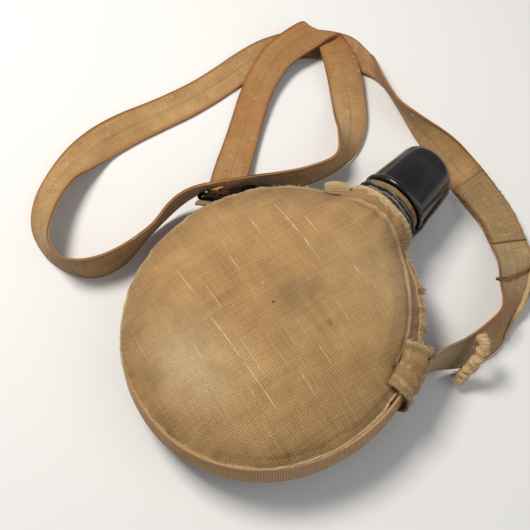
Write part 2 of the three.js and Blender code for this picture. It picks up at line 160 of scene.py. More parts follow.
def sheet_solid(name, P, t, uv, mat, attrs=None, wrap_n=False, wrap_m=False, flip=False):
    """A sheet of thickness t about the grid P, closed at its rims."""
    n, m = P.shape[:2]
    N = grid_normals(P, wrap_n, wrap_m)
    if flip:
        N = -N
    V = np.concatenate([(P + N * t / 2).reshape(-1, 3), (P - N * t / 2).reshape(-1, 3)])
    k = n * m
    F = [grid_faces(n, m, wrap_n, wrap_m, 0, flip), grid_faces(n, m, wrap_n, wrap_m, k, not flip)]
    if not wrap_m:
        for jj, fl in ((0, False), (m - 1, True)):
            i = np.arange(n if wrap_n else n - 1)
            i2 = (i + 1) % n
            q = np.stack([i * m + jj, i2 * m + jj, k + i2 * m + jj, k + i * m + jj], -1)
            F.append(q[:, ::-1] if fl != flip else q)
    if not wrap_n:
        for ii, fl in ((0, True), (n - 1, False)):
            j = np.arange(m if wrap_m else m - 1)
            j2 = (j + 1) % m
            q = np.stack([ii * m + j, ii * m + j2, k + ii * m + j2, k + ii * m + j], -1)
            F.append(q[:, ::-1] if fl != flip else q)
    UV = np.concatenate([uv.reshape(-1, 2)] * 2)
    at = {q: np.concatenate([np.asarray(v, float).ravel()] * 2) for q, v in (attrs or {}).items()}
    return mesh(name, V, np.concatenate(F), UV, at, mat)


def catmull(P, u):
    P = np.asarray(P, float)
    n = len(P)
    k = np.clip(np.asarray(u, float), 0, 1) * (n - 1)
    i = np.minimum(k.astype(int), n - 2)
    f = (k - i)[:, None]
    p = lambda j: P[np.clip(j, 0, n - 1)]
    p0, p1, p2, p3 = p(i - 1), p(i), p(i + 1), p(i + 2)
    return 0.5 * (2 * p1 + (p2 - p0) * f + (2 * p0 - 5 * p1 + 4 * p2 - p3) * f ** 2 + (3 * p1 - p0 - 3 * p2 + p3) * f ** 3)


def lathe_neck(name, prof, seg, mat, wob=None, closed=True, z0=31.0):
    """(r, y) outline about the neck axis."""
    prof = np.asarray(prof, float)
    th = np.linspace(0, 2 * np.pi, seg, endpoint=False)
    r = prof[None, :, 0].repeat(seg, 0)
    y = prof[None, :, 1].repeat(seg, 0)
    T = th[:, None].repeat(len(prof), 1)
    P = np.stack([r * np.cos(T), y, z0 + r * np.sin(T)], -1)
    if wob is not None:
        dr, dy = wob(T, r, y)
        P = np.stack([(r + dr) * np.cos(T), y + dy, z0 + (r + dr) * np.sin(T)], -1)
    s = np.r_[0, np.cumsum(np.linalg.norm(np.diff(prof, axis=0), axis=1))]
    uv = np.stack([T * 24.0, s[None].repeat(seg, 0)], -1)
    F = grid_faces(seg, len(prof), True, closed)
    return mesh(name, P.reshape(-1, 3), F, uv.reshape(-1, 2), None, mat)


def smooth_profile(pts, per=6):
    """Rounds a polyline's corners by sampling a spline through it."""
    pts = np.asarray(pts, float)
    return catmull(pts, np.linspace(0, 1, (len(pts) - 1) * per + 1))


def tube(name, path, r, seg, mat, wob=0.0, taper=False, seed=3, uvs=1.0):
    path = np.asarray(path, float)
    n = len(path)
    T = np.gradient(path, axis=0)
    T /= np.linalg.norm(T, axis=1)[:, None] + 1e-9
    ref = np.array([0.0, 0, 1.0])
    S = np.cross(T, ref)
    bad = np.linalg.norm(S, axis=1) < 0.2
    S[bad] = np.cross(T[bad], np.array([1.0, 0, 0]))
    S /= np.linalg.norm(S, axis=1)[:, None]
    U = np.cross(S, T)
    a_ = np.linspace(0, 2 * np.pi, seg, endpoint=False)
    rr = np.full(n, float(r)) if np.isscalar(r) else np.asarray(r, float)
    rr = rr[:, None] * (1 + wob * noise(np.stack([path[:, 0], path[:, 1], path[:, 2]], -1)[:, None, :] + np.stack([np.cos(a_), np.sin(a_), 0 * a_], -1)[None] * 2, 0.5, seed))
    P = path[:, None] + S[:, None] * (rr * np.cos(a_))[..., None] + U[:, None] * (rr * np.sin(a_))[..., None]
    L = np.r_[0, np.cumsum(np.linalg.norm(np.diff(path, axis=0), axis=1))]
    uv = np.stack([np.broadcast_to(a_ / (2 * np.pi) * 6.28 * np.mean(rr), (n, seg)), np.broadcast_to(L[:, None], (n, seg))], -1) * uvs
    F = list(grid_faces(n, seg, False, True))
    V = P.reshape(-1, 3)
    # end caps as quads to a doubled centre point
    c0, c1 = len(V), len(V) + 1
    V = np.concatenate([V, path[:1] - T[:1] * rr.mean() * 0.3, path[-1:] + T[-1:] * rr.mean() * 0.3])
    for j in range(0, seg, 2):
        j1, j2 = (j + 1) % seg, (j + 2) % seg
        F.append([c0, j2, j1, j])
        o = (n - 1) * seg
        F.append([c1, o + j, o + j1, o + j2])
    UV = np.concatenate([uv.reshape(-1, 2), [[0, 0], [0, 0]]])
    return mesh(name, V, F, UV, None, mat)


def threads(name, starts, dirs, lengths, r, mat, curl=0.5, seed=5, floor=0.25):
    """Loose yarn ends, all in one mesh."""
    g = np.random.RandomState(seed)
    V, F = [], []
    for p, d, L in zip(np.asarray(starts, float), np.asarray(dirs, float), lengths):
        d = d / (np.linalg.norm(d) + 1e-9)
        k = 6
        c = [p.copy()]
        q = d.copy()
        for i in range(k - 1):
            q = q + g.normal(0, curl, 3) * 0.45 + np.array([0, 0, -0.12])
            q /= np.linalg.norm(q)
            nx = c[-1] + q * L / (k - 1)
            nx[2] = max(nx[2], floor)
            c.append(nx)
        c = np.array(c)
        T = np.gradient(c, axis=0)
        T /= np.linalg.norm(T, axis=1)[:, None] + 1e-9
        S = np.cross(T, [0.31, 0.22, 0.92])
        S /= np.linalg.norm(S, axis=1)[:, None] + 1e-9
        U = np.cross(S, T)
        rr = r * np.linspace(1, 0.45, k) * g.uniform(0.7, 1.25)
        o = sum(len(v) for v in V)
        P = np.stack([c + S * (rr * math.cos(t))[:, None] + U * (rr * math.sin(t))[:, None] for t in (0, 1.571, 3.142, 4.712)], 1)
        V.append(P.reshape(-1, 3))
        F.append(grid_faces(k, 4, False, True, o))
        F.append(np.array([[o, o + 3, o + 2, o + 1], [o + (k - 1) * 4, o + (k - 1) * 4 + 1, o + (k - 1) * 4 + 2, o + (k - 1) * 4 + 3]]))
    V = np.concatenate(V)
    F = np.concatenate(F)
    return mesh(name, V, F, V[:, :2] * 1.0, None, mat)


# ------------------------------------------------------------------ materials
def srgb(r, g, b):
    f = lambda c: (c / 255 / 12.92) if c <= 10 else ((c / 255 + 0.055) / 1.055) ** 2.4
    return (f(r), f(g), f(b), 1.0)


class Nodes:
    def __init__(self, name):
        self.m = bpy.data.materials.new(name)
        self.m.use_nodes = True
        self.nt = self.m.node_tree
        self.nt.nodes.clear()
        self.out = self.nt.nodes.new("ShaderNodeOutputMaterial")
        self.b = self.nt.nodes.new("ShaderNodeBsdfPrincipled")
        self.nt.links.new(self.b.outputs[0], self.out.inputs["Surface"])

    def new(self, kind, ins=None, **props):
        nd = self.nt.nodes.new(kind)
        for k, v in props.items():
            setattr(nd, k, v)
        for k, v in (ins or {}).items():
            self.put(nd.inputs[k], v)
        return nd

    def put(self, sock, v):
        if isinstance(v, bpy.types.NodeSocket):
            self.nt.links.new(v, sock)
        else:
            sock.default_value = v

    def math(self, op, x, y=None, z=None, clamp=False):
        nd = self.new("ShaderNodeMath", operation=op, use_clamp=clamp)
        self.put(nd.inputs[0], x)
        if y is not None:
            self.put(nd.inputs[1], y)
        if z is not None:
            self.put(nd.inputs[2], z)
        return nd.outputs[0]

    def uv(self):
        t = self.new("ShaderNodeTexCoord")
        s = self.new("ShaderNodeSeparateXYZ", {0: t.outputs["UV"]})
        return s.outputs[0], s.outputs[1]

    def obj(self):
        return self.new("ShaderNodeTexCoord").outputs["Object"]

    def vec(self, x, y, z=0.0):
        return self.new("ShaderNodeCombineXYZ", {0: x, 1: y, 2: z}).outputs[0]

    def noise(self, vec, scale, detail=2.0, rough=0.5):
        return self.new("ShaderNodeTexNoise", {"Vector": vec, "Scale": scale, "Detail": detail, "Roughness": rough}).outputs["Fac"]

    def rng(self, v, a0, a1, b0, b1):
        return self.new("ShaderNodeMapRange", {"Value": v, "From Min": a0, "From Max": a1, "To Min": b0, "To Max": b1}).outputs["Result"]

    def mix(self, f, x, y, blend="MIX"):
        nd = self.new("ShaderNodeMix", data_type="RGBA", blend_type=blend)
        self.put(nd.inputs[0], f)
        self.put(nd.inputs[6], x)
        self.put(nd.inputs[7], y)
        return nd.outputs[2]

    def attr(self, name):
        return self.new("ShaderNodeAttribute", attribute_name=name).outputs["Fac"]

    def bump(self, h, dist, strength=1.0, normal=None):
        nd = self.new("ShaderNodeBump", {"Height": h, "Distance": dist, "Strength": strength})
        if normal is not None:
            self.put(nd.inputs["Normal"], normal)
        return nd.outputs[0]

    def set(self, **kw):
        names = dict(color="Base Color", rough="Roughness", metal="Metallic", normal="Normal", sheen="Sheen Weight",
                     sheen_rough="Sheen Roughness", spec="Specular IOR Level", coat="Coat Weight", coat_rough="Coat Roughness")
        for k, v in kw.items():
            self.put(self.b.inputs[names[k]], v)
        return self.m


def canvas_mat(name, light, dark, pitch=1.35, stain=(92, 62, 32), pale=(206, 184, 146), ink=(70, 66, 62)):
    N = Nodes(name)
    u, v = N.uv()
    o = N.obj()
    wob = N.noise(N.vec(u, v, 0.0), 0.09, 2.0)
    wob2 = N.noise(N.vec(v, u, 3.0), 0.11, 2.0)
    u2 = N.math("ADD", u, N.math("MULTIPLY", N.math("SUBTRACT", wob, 0.5), 1.6))
    v2 = N.math("ADD", v, N.math("MULTIPLY", N.math("SUBTRACT", wob2, 0.5), 1.6))
    k = math.pi / pitch
    su = N.math("SINE", N.math("MULTIPLY", u2, k))
    sv = N.math("SINE", N.math("MULTIPLY", v2, k))
    chk = N.math("MULTIPLY", su, sv)                      # over, under
    au = N.math("POWER", N.math("ABSOLUTE", su), 0.5)
    av = N.math("POWER", N.math("ABSOLUTE", sv), 0.5)
    gap = N.math("MULTIPLY", au, av)                      # holes between yarns
    over = N.math("GREATER_THAN", chk, 0.0)
    # yarn by yarn thickness and tone
    yu = N.noise(N.vec(N.math("MULTIPLY", u2, 0.72), N.math("MULTIPLY", v2, 0.018), 0.0), 1.0, 1.0)
    yv = N.noise(N.vec(N.math("MULTIPLY", u2, 0.018), N.math("MULTIPLY", v2, 0.72), 7.0), 1.0, 1.0)
    yarn = N.math("ADD", N.math("MULTIPLY", yu, 0.5), N.math("MULTIPLY", yv, 0.5))
    height = N.math("ADD", N.math("MULTIPLY", gap, 0.62), N.math("ADD", N.math("MULTIPLY", chk, 0.20), N.math("MULTIPLY", yarn, 0.40)))
    big = N.noise(o, 17.0, 4.0, 0.6)
    mid = N.noise(o, 62.0, 3.0, 0.6)
    fine = N.noise(o, 900.0, 2.0, 0.6)
    tone = N.math("ADD", N.math("MULTIPLY", big, 0.55), N.math("MULTIPLY", mid, 0.45))
    tone = N.math("ADD", tone, N.attr("tone"))
    f = N.rng(tone, 0.28, 0.74, 0.0, 1.0)
    col = N.mix(f, srgb(*dark), srgb(*light))
    col = N.mix(N.rng(yarn, 0.36, 0.66, 0.0, 0.26), col, srgb(*[min(255, int(c * 1.22)) for c in light]))
    col = N.mix(N.rng(gap, 0.28, 0.82, 0.5, 0.0), col, srgb(*[int(c * 0.42) for c in dark]))
    # long pale slubs lying along the weave
    sl = N.noise(N.vec(N.math("MULTIPLY", u2, 0.020), N.math("MULTIPLY", v2, 0.95), 11.0), 1.0, 0.0)
    col = N.mix(N.rng(sl, 0.78, 0.85, 0.0, 0.42), col, srgb(*pale))
    fleck = N.noise(o, 330.0, 2.0, 0.7)
    col = N.mix(N.rng(fleck, 0.70, 0.78, 0.0, 0.5), col, srgb(*pale))
    col = N.mix(N.math("MULTIPLY", N.attr("stain"), 1.0, clamp=True), col, srgb(*stain))
    col = N.mix(N.math("MULTIPLY", N.attr("pale"), N.rng(mid, 0.3, 0.6, 0.55, 1.0), clamp=True), col, srgb(*pale))
    col = N.mix(N.math("MULTIPLY", N.attr("ink"), N.rng(gap, 0.2, 0.8, 0.6, 1.0), clamp=True), col, srgb(*ink))
    col = N.mix(N.rng(fine, 0.35, 0.65, 0.18, 0.0), col, srgb(*[int(c * 0.55) for c in dark]))
    rough = N.rng(mid, 0.2, 0.8, 0.84, 0.98)
    nb = N.bump(height, 0.00042, 0.85)
    nb = N.bump(N.math("ADD", fine, mid), 0.0002, 0.5, nb)
    return N.set(color=col, rough=rough, normal=nb, sheen=0.12, sheen_rough=0.5, spec=0.22)


def web_mat(name, light=(196, 158, 106), dark=(140, 98, 54), edge=(150, 98, 48), rib=1.5, width=27.0, col_rib=1.15):
    N = Nodes(name)
    u, v = N.uv()
    o = N.obj()
    wob = N.noise(N.vec(u, v, 0.0), 0.12, 2.0)
    v2 = N.math("ADD", v, N.math("MULTIPLY", N.math("SUBTRACT", wob, 0.5), 0.9))
    ph = N.math("SINE", N.math("MULTIPLY", u, 2 * math.pi / (col_rib * 2)))
    ribs = N.math("SINE", N.math("ADD", N.math("MULTIPLY", v2, 2 * math.pi / rib), N.math("MULTIPLY", ph, 0.9)))
    warp = N.math("ABSOLUTE", N.math("SINE", N.math("MULTIPLY", u, math.pi / col_rib)))
    yv = N.noise(N.vec(N.math("MULTIPLY", u, 0.9), N.math("MULTIPLY", v2, 0.02), 2.0), 1.0, 1.0)
    yh = N.noise(N.vec(N.math("MULTIPLY", u, 0.05), N.math("MULTIPLY", v2, 0.7), 5.0), 1.0, 1.0)
    height = N.math("ADD", N.math("MULTIPLY", ribs, 0.34), N.math("ADD", N.math("MULTIPLY", warp, 0.34), N.math("MULTIPLY", yh, 0.4)))
    big = N.noise(N.vec(N.math("MULTIPLY", u, 0.03), N.math("MULTIPLY", v, 0.012), 0.0), 1.0, 4.0, 0.6)
    mid = N.noise(o, 70.0, 3.0, 0.6)
    fine = N.noise(o, 1100.0, 2.0, 0.6)
    tone = N.math("ADD", N.math("ADD", N.math("MULTIPLY", big, 0.5), N.math("MULTIPLY", mid, 0.5)), N.attr("tone"))
    col = N.mix(N.rng(tone, 0.3, 0.72, 0.0, 1.0), srgb(*dark), srgb(*light))
    col = N.mix(N.rng(N.math("ADD", yv, yh), 0.8, 1.2, 0.0, 0.28), col, srgb(*[min(255, int(c * 1.2)) for c in light]))
    lo = N.math("MULTIPLY", N.rng(ribs, -1.0, 0.35, 0.55, 0.0), 1.0)
    col = N.mix(lo, col, srgb(*[int(c * 0.55) for c in dark]))
    col = N.mix(N.rng(warp, 0.0, 0.5, 0.34, 0.0), col, srgb(*[int(c * 0.6) for c in dark]))
    d = N.math("ABSOLUTE", N.math("SUBTRACT", u, width / 2))
    col = N.mix(N.rng(N.math("ADD", d, N.math("MULTIPLY", mid, 1.2)), width * 0.415, width * 0.49, 0.0, 0.75), col, srgb(*edge))
    col = N.mix(N.rng(d, 0.3, 1.0, 0.24, 0.0), col, srgb(*[int(c * 0.62) for c in dark]))
    col = N.mix(N.attr("green"), col, srgb(118, 116, 92))
    col = N.mix(N.attr("stain"), col, srgb(146, 92, 44))
    col = N.mix(N.attr("pale"), col, srgb(212, 188, 146))
    col = N.mix(N.rng(fine, 0.35, 0.6, 0.16, 0.0), col, srgb(70, 48, 28))
    rough = N.rng(mid, 0.2, 0.8, 0.82, 0.96)
    nb = N.bump(height, 0.00038, 0.9)
    nb = N.bump(N.math("ADD", fine, mid), 0.00018, 0.5, nb)
    return N.set(color=col, rough=rough, normal=nb, sheen=0.1, sheen_rough=0.5, spec=0.22)


def yarn_mat(name, c1, c2):
    N = Nodes(name)
    o = N.obj()
    n1, n2 = N.noise(o, 160.0, 3.0), N.noise(o, 2600.0, 2.0)
    col = N.mix(N.rng(n1, 0.3, 0.7, 0.0, 1.0), srgb(*c1), srgb(*c2))
    col = N.mix(N.rng(n2, 0.3, 0.7, 0.3, 0.0), col, srgb(*[int(c * 0.6) for c in c1]))
    return N.set(color=col, rough=N.rng(n1, 0.2, 0.8, 0.8, 0.95), normal=N.bump(n2, 0.00015, 0.6), sheen=0.1, spec=0.2)


def cap_mat(name):
    N = Nodes(name)
    o = N.obj()
    s1 = N.noise(o, 38.0, 5.0, 0.62)
    s2 = N.noise(o, 420.0, 4.0, 0.6)
    mp = N.new("ShaderNodeMapping", {"Vector": o, "Scale": (1600.0, 60.0, 1600.0)}).outputs[0]
    s3 = N.noise(mp, 1.0, 2.0, 0.6)
    dust = N.math("MULTIPLY", N.rng(s1, 0.52, 0.72, 0.0, 1.0), N.rng(s2, 0.35, 0.7, 0.2, 1.0))
    col = N.mix(dust, srgb(11, 9, 10), srgb(30, 25, 23))
    col = N.mix(N.rng(s3, 0.68, 0.76, 0.0, 0.35), col, srgb(88, 80, 74))
    rough = N.math("ADD", N.rng(s1, 0.3, 0.7, 0.15, 0.30), N.math("MULTIPLY", dust, 0.22))
    nb = N.bump(N.math("ADD", N.math("MULTIPLY", s1, 1.2), N.math("MULTIPLY", s3, 0.10)), 0.0004, 0.35)
    return N.set(color=col, rough=rough, normal=nb, spec=0.5, coat=0.25, coat_rough=0.12)


def leather_mat(name, c1=(48, 43, 39), c2=(116, 105, 91)):
    N = Nodes(name)
    o = N.obj()
    s1 = N.noise(o, 60.0, 5.0, 0.65)
    vor = N.new("ShaderNodeTexVoronoi", {"Vector": o, "Scale": 700.0}, feature="DISTANCE_TO_EDGE").outputs["Distance"]
    s2 = N.noise(o, 300.0, 4.0, 0.6)
    col = N.mix(N.rng(s1, 0.35, 0.68, 0.0, 1.0), srgb(*c1), srgb(*c2))
    col = N.mix(N.rng(s2, 0.6, 0.75, 0.0, 0.4), col, srgb(128, 118, 104))
    col = N.mix(N.rng(vor, 0.0, 0.08, 0.5, 0.0), col, srgb(18, 15, 13))
    nb = N.bump(N.math("ADD", N.math("MULTIPLY", vor, 1.0), N.math("MULTIPLY", s1, 1.5)), 0.0005, 0.6)
    return N.set(color=col, rough=N.rng(s2, 0.3, 0.7, 0.38, 0.62), normal=nb, spec=0.4)


def steel_mat(name):
    N = Nodes(name)
    o = N.obj()
    s1, s2 = N.noise(o, 210.0, 4.0, 0.65), N.noise(o, 1300.0, 3.0, 0.6)
    worn = N.rng(s1, 0.58, 0.66, 0.0, 1.0)
    col = N.mix(worn, srgb(24, 23, 28), srgb(150, 146, 142))
    col = N.mix(N.rng(s2, 0.62, 0.72, 0.0, 0.5), col, srgb(98, 62, 38))
    return N.set(color=col, rough=N.rng(s2, 0.3, 0.7, 0.26, 0.46), metal=N.rng(worn, 0.0, 1.0, 0.55, 1.0), normal=N.bump(N.math("ADD", s1, s2), 0.00012, 0.5), spec=0.5)


def copper_mat(name):
    N = Nodes(name)
    o = N.obj()
    s1, s2 = N.noise(o, 150.0, 4.0, 0.65), N.noise(o, 1500.0, 3.0, 0.6)
    col = N.mix(N.rng(s1, 0.35, 0.68, 0.0, 1.0), srgb(104, 54, 26), srgb(184, 116, 66))
    col = N.mix(N.rng(s2, 0.58, 0.7, 0.0, 0.6), col, srgb(64, 34, 20))
    return N.set(color=col, rough=N.rng(s2, 0.3, 0.7, 0.34, 0.6), metal=N.rng(s1, 0.3, 0.7, 0.5, 0.8), normal=N.bump(s2, 0.00012, 0.6))


def alu_mat(name):
    N = Nodes(name)
    o = N.obj()
    mp = N.new("ShaderNodeMapping", {"Vector": o, "Scale": (900.0, 60.0, 900.0)}).outputs[0]
    s1, s2 = N.noise(mp, 1.0, 3.0, 0.6), N.noise(o, 45.0, 4.0, 0.6)
    col = N.mix(N.rng(s2, 0.35, 0.7, 0.0, 1.0), srgb(168, 170, 168), srgb(128, 128, 124))
    return N.set(color=col, rough=N.rng(s1, 0.3, 0.7, 0.3, 0.5), metal=N.rng(s2, 0.3, 0.7, 0.95, 0.85), normal=N.bump(s1, 0.0001, 0.4))


def felt_mat(name):
    N = Nodes(name)
    o = N.obj()
    s1, s2 = N.noise(o, 120.0, 4.0, 0.65), N.noise(o, 1900.0, 4.0, 0.7)
    col = N.mix(N.rng(s1, 0.3, 0.7, 0.0, 1.0), srgb(104, 78, 48), srgb(158, 128, 88))
    col = N.mix(N.rng(s2, 0.35, 0.65, 0.5, 0.0), col, srgb(70, 50, 30))
    return N.set(color=col, rough=N.rng(s1, 0.3, 0.7, 0.85, 0.97), normal=N.bump(s2, 0.0004, 0.8), sheen=0.2, spec=0.2)


M_CANVAS = canvas_mat("canvas_front", (192, 154, 102), (142, 106, 62))
M_GUSSET = canvas_mat("canvas_gusset", (168, 132, 86), (118, 86, 50))
M_HEM = canvas_mat("canvas_hem", (186, 156, 112), (134, 102, 62))
M_WEB = web_mat("webbing_strap")
M_BAND = web_mat("webbing_edge", (198, 160, 108), (146, 108, 64), (166, 126, 78), 1.7, 25.0)
M_TAB = web_mat("webbing_tab", (168, 136, 92), (116, 84, 48), (140, 104, 62), 1.5, 22.0)
M_YARN = yarn_mat("yarn_pale", (168, 138, 96), (218, 196, 156))
M_YARN_O = yarn_mat("yarn_orange", (136, 92, 46), (196, 150, 92))
M_CAP = cap_mat("cap_black")
M_HIDE = leather_mat("collar_leather")
M_HIDE2 = leather_mat("strap_leather", (62, 58, 56), (138, 130, 120))
M_STEEL = steel_mat("black_steel")
M_COPPER = copper_mat("rusty_wire")
M_ALU = alu_mat("bottle_aluminium")
M_FELT = felt_mat("felt")

# ------------------------------------------------------------------ shoulder strap
STRAP = np.array([
[-104.0,39.2,24.9,-83.6,56.9,26.0],
  [-116.5,55.2,14.1,-95.3,71.7,15.2],
  [-128.5,72.7,6.5,-106.0,87.3,7.8],
  [-139.3,91.8,2.2,-116.4,105.2,5.4],
  [-150.7,112.2,1.2,-127.9,124.7,6.4],
  [-162.3,133.8,2.9,-138.4,144.3,8.1],
  [-171.3,156.5,7.2,-145.4,163.4,9.2],
  [-175.5,182.5,12.4,-148.2,183.0,10.8],
  [-170.2,213.7,16.0,-143.4,206.4,13.6],
  [-163.7,221.3,15.9,-138.9,230.1,14.0],
  [-149.4,209.2,15.4,-137.6,233.7,13.8],
  [-126.5,197.3,10.2,-111.3,220.1,10.2],
  [-105.3,180.6,6.2,-87.0,200.8,6.0],
  [-87.8,164.1,12.8,-67.1,178.9,4.2],
  [-71.4,148.3,24.3,-56.6,153.6,2.5],
  [-57.7,129.3,27.8,-58.7,129.8,1.2],
  [-65.4,107.1,28.1,-67.1,106.1,1.2],
  [-77.0,86.6,30.9,-84.3,79.6,6.6],
  [-82.6,72.7,37.7,-96.0,58.0,20.5],
  [-82.8,63.4,46.7,-97.2,45.5,32.9],
  [-92.7,41.9,54.1,-92.6,53.4,34.0],
  [-108.3,29.3,42.8,-103.6,49.8,26.6],
  [-116.3,15.5,31.8,-119.6,29.1,9.4],
  [-114.8,-5.3,27.4,-122.0,-2.8,1.5],
  [-117.6,-30.8,28.1,-118.2,-31.4,1.2],
  [-126.4,-52.3,28.2,-124.8,-53.2,1.3],
  [-141.2,-64.7,28.2,-142.4,-64.4,1.2],
  [-158.4,-61.7,29.3,-163.8,-67.8,3.6],
  [-171.6,-47.8,27.6,-184.7,-61.7,8.5],
  [-182.2,-31.6,23.5,-201.3,-45.3,10.3],
  [-189.3,-14.0,18.3,-212.7,-23.6,9.0],
  [-192.2,3.5,9.7,-219.0,0.1,10.1],
  [-193.4,21.9,2.5,-218.8,24.4,11.9],
  [-189.8,43.5,1.2,-215.4,49.4,9.6],
  [-183.2,67.7,1.2,-209.8,75.2,5.0],
  [-176.3,92.0,1.2,-203.1,98.9,3.7],
  [-171.8,115.0,1.2,-198.8,119.5,2.9],
  [-169.2,136.2,1.3,-196.0,139.5,2.7],
  [-166.9,156.7,1.5,-193.4,161.0,3.5],
  [-162.7,175.7,1.5,-188.1,184.4,4.4],
  [-154.8,192.3,1.8,-176.8,207.4,4.8],
  [-142.2,205.7,1.6,-158.3,226.9,5.6],
  [-125.2,214.0,3.4,-134.1,239.3,5.8],
  [-106.2,219.1,3.3,-117.8,243.0,2.7],
  [-98.5,226.8,1.1,-119.6,239.4,10.7],
  [-91.7,228.3,2.3,-102.9,222.9,25.9],
  [-65.0,215.3,3.4,-69.1,204.1,27.6],
  [-35.4,200.6,1.2,-34.5,199.7,28.1],
  [-10.1,190.2,1.2,-5.3,203.2,24.3],
  [11.4,181.8,1.6,18.2,203.4,16.6],
  [31.6,175.0,3.8,39.5,199.9,10.8],
  [49.5,167.9,7.5,61.5,192.1,8.6],
  [66.1,157.3,10.0,81.9,179.2,9.4],
  [80.1,145.8,15.6,100.6,163.0,12.0],
  [90.9,131.0,21.2,111.5,141.7,7.6],
  [103.0,115.1,25.4,113.7,119.1,1.2],
  [102.8,98.2,24.6,118.1,97.0,2.3],
  [99.2,80.1,25.4,111.0,75.1,1.8],
  [90.8,61.7,27.1,96.7,57.1,1.2],
  [80.6,43.1,28.1,82.0,41.6,1.2]
])
STRAP[9] = [-165.0, 220.5, 11.0, -138.0, 218.5, 19.5]
STRAP[10] = [-154.0, 216.5, 12.0, -132.0, 225.6, 19.0]
STRAP[43] = [-106.2, 218.1, 3.3, -114.5, 239.5, 3.0]
STRAP[44] = [-92.0, 221.8, 2.0, -102.0, 231.0, 12.0]
STRAP[45] = [-78.0, 219.7, 2.0, -79.0, 211.5, 25.5]
STRAP[46] = [-60.0, 212.0, 2.0, -56.0, 201.5, 26.5]
STRAP[-2] = [92.5, 55.5, 36.0, 95.0, 51.5, 10.6]
STRAP[-1] = [92.6, 37.5, 41.5, 93.2, 36.0, 17.0]
SA, SB = STRAP[:, :3], STRAP[:, 3:]


def ribbon(name, u0, u1, n, across, t, mat, lift=0.0, narrow=1.0, curl=0.0, v_off=0.0, width=27.0, extra=None, edge_noise=0.0, seed=0):
    u = np.linspace(u0, u1, n)
    A, B = catmull(SA, u), catmull(SB, u)
    # even spacing along the length
    C = (A + B) / 2
    L = np.r_[0, np.cumsum(np.linalg.norm(np.diff(C, axis=0), axis=1))]
    uu = np.interp(np.linspace(0, L[-1], n), L, u)
    A, B = catmull(SA, uu), catmull(SB, uu)
    C = (A + B) / 2
    L = np.r_[0, np.cumsum(np.linalg.norm(np.diff(C, axis=0), axis=1))]
    T = np.gradient(C, axis=0)
    T /= np.linalg.norm(T, axis=1)[:, None]
    w = (B - A) * narrow
    N = np.cross(T, w)
    N /= np.linalg.norm(N, axis=1)[:, None] + 1e-6
    for _ in range(6):
        N = (np.roll(N, 1, 0) + 2 * N + np.roll(N, -1, 0)) / 4
    N /= np.linalg.norm(N, axis=1)[:, None] + 1e-6
    s = np.linspace(-0.5, 0.5, across)
    P = C[:, None] + w[:, None] * s[None, :, None]
    # soft cupping and small ripples of old webbing
    cup = curl * (1 - (2 * s) ** 2)
    rip = 0.28 * fbm(np.stack([L[:, None] + 0 * s, 9 * s + 0 * L[:, None], 0 * s + 0 * L[:, None]], -1), 0.05, 31 + seed)
    off = cup[None] + rip
    side = np.where(N[:, 2] >= 0, 1.0, -1.0)
    if lift:
        off = off + lift * side[:, None]
    P = P + N[:, None] * off[..., None]
    if edge_noise:
        e1 = edge_noise * fbm(np.stack([L, 0 * L, 0 * L], -1), 0.35, 71 + seed)
        P = P + (w / np.linalg.norm(w, axis=1)[:, None])[:, None] * (np.where(np.abs(s) > 0.46, np.sign(s), 0)[None] * e1[:, None])[..., None]
    P[..., 2] = np.maximum(P[..., 2], t / 2 + 0.35)
    uv = np.stack([(s[None] + 0.5) * width + 0 * L[:, None], L[:, None] + v_off + 0 * s[None]], -1)
    at = dict(tone=0 * P[..., 0], green=0 * P[..., 0], stain=0 * P[..., 0], pale=0 * P[..., 0])
    if extra:
        at.update(extra(uu[:, None] + 0 * s[None], s[None] + 0 * uu[:, None], P))
    return sheet_solid(name, P, t, uv, mat, at), C, N, w, T, L


def strap_tones(u, s, P):
    def bell(c, w_):
        return np.exp(-((u - c) / w_) ** 2)
    n = fbm(P, 0.03, 5)
    stain = 0.42 * bell(0.10, 0.05) + 0.55 * bell(0.165, 0.035) + 0.28 * bell(0.05, 0.05) + 0.25 * bell(0.70, 0.04) + 0.3 * bell(0.745, 0.02) + 0.45 * bell(0.94, 0.02)
    edge = sstep(np.abs(s), 0.40, 0.5)
    stain = np.clip(stain * (0.75 + 0.5 * n) + 0.22 * edge * (0.6 + n), 0, 0.85)
    # tone: the 0.14 bell at u 0.97 is painted light, brightening the strap's lower end where it lies in shade
    tone = 0.30 * bell(0.245, 0.035) + 0.05 * bell(0.6, 0.08) - 0.06 * bell(0.165, 0.05) + 0.14 * bell(0.97, 0.03) + 0.05 * n
    green = np.clip(0.55 * bell(0.905, 0.03) + 0.85 * bell(0.975, 0.026) + 0.25 * bell(0.86, 0.02) + 0.2 * bell(0.44, 0.05), 0, 0.7) * (0.7 + 0.4 * n)
    pale = np.clip(0.35 * sstep(fbm(P, 0.25, 55), 0.45, 0.7), 0, 0.4)
    return dict(tone=tone, stain=stain, green=np.clip(green, 0, 0.75), pale=pale)


strap, C, N_, Wd, T_, L_ = ribbon("strap_webbing", 0.004, 1.0, 760, 15, 1.7, M_WEB, extra=strap_tones, curl=0.35)
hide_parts("shoulder_strap", "strap_lower_end")
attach(strap, "canteen")


def strap_at(u):
    """Frame of the strap at u: centre, along, across (A to B), up."""
    u = np.atleast_1d(u)
    A, B = catmull(SA, u), catmull(SB, u)
    A2, B2 = catmull(SA, u + 0.002), catmull(SB, u + 0.002)
    c = (A + B) / 2
    t = (A2 + B2) / 2 - c
    t /= np.linalg.norm(t, axis=1)[:, None]
    w = B - A
    w /= np.linalg.norm(w, axis=1)[:, None]
    n = np.cross(t, w)
    n /= np.linalg.norm(n, axis=1)[:, None]
    n *= np.where(n[:, 2:3] >= 0, 1, -1)
    return c, t, w, n


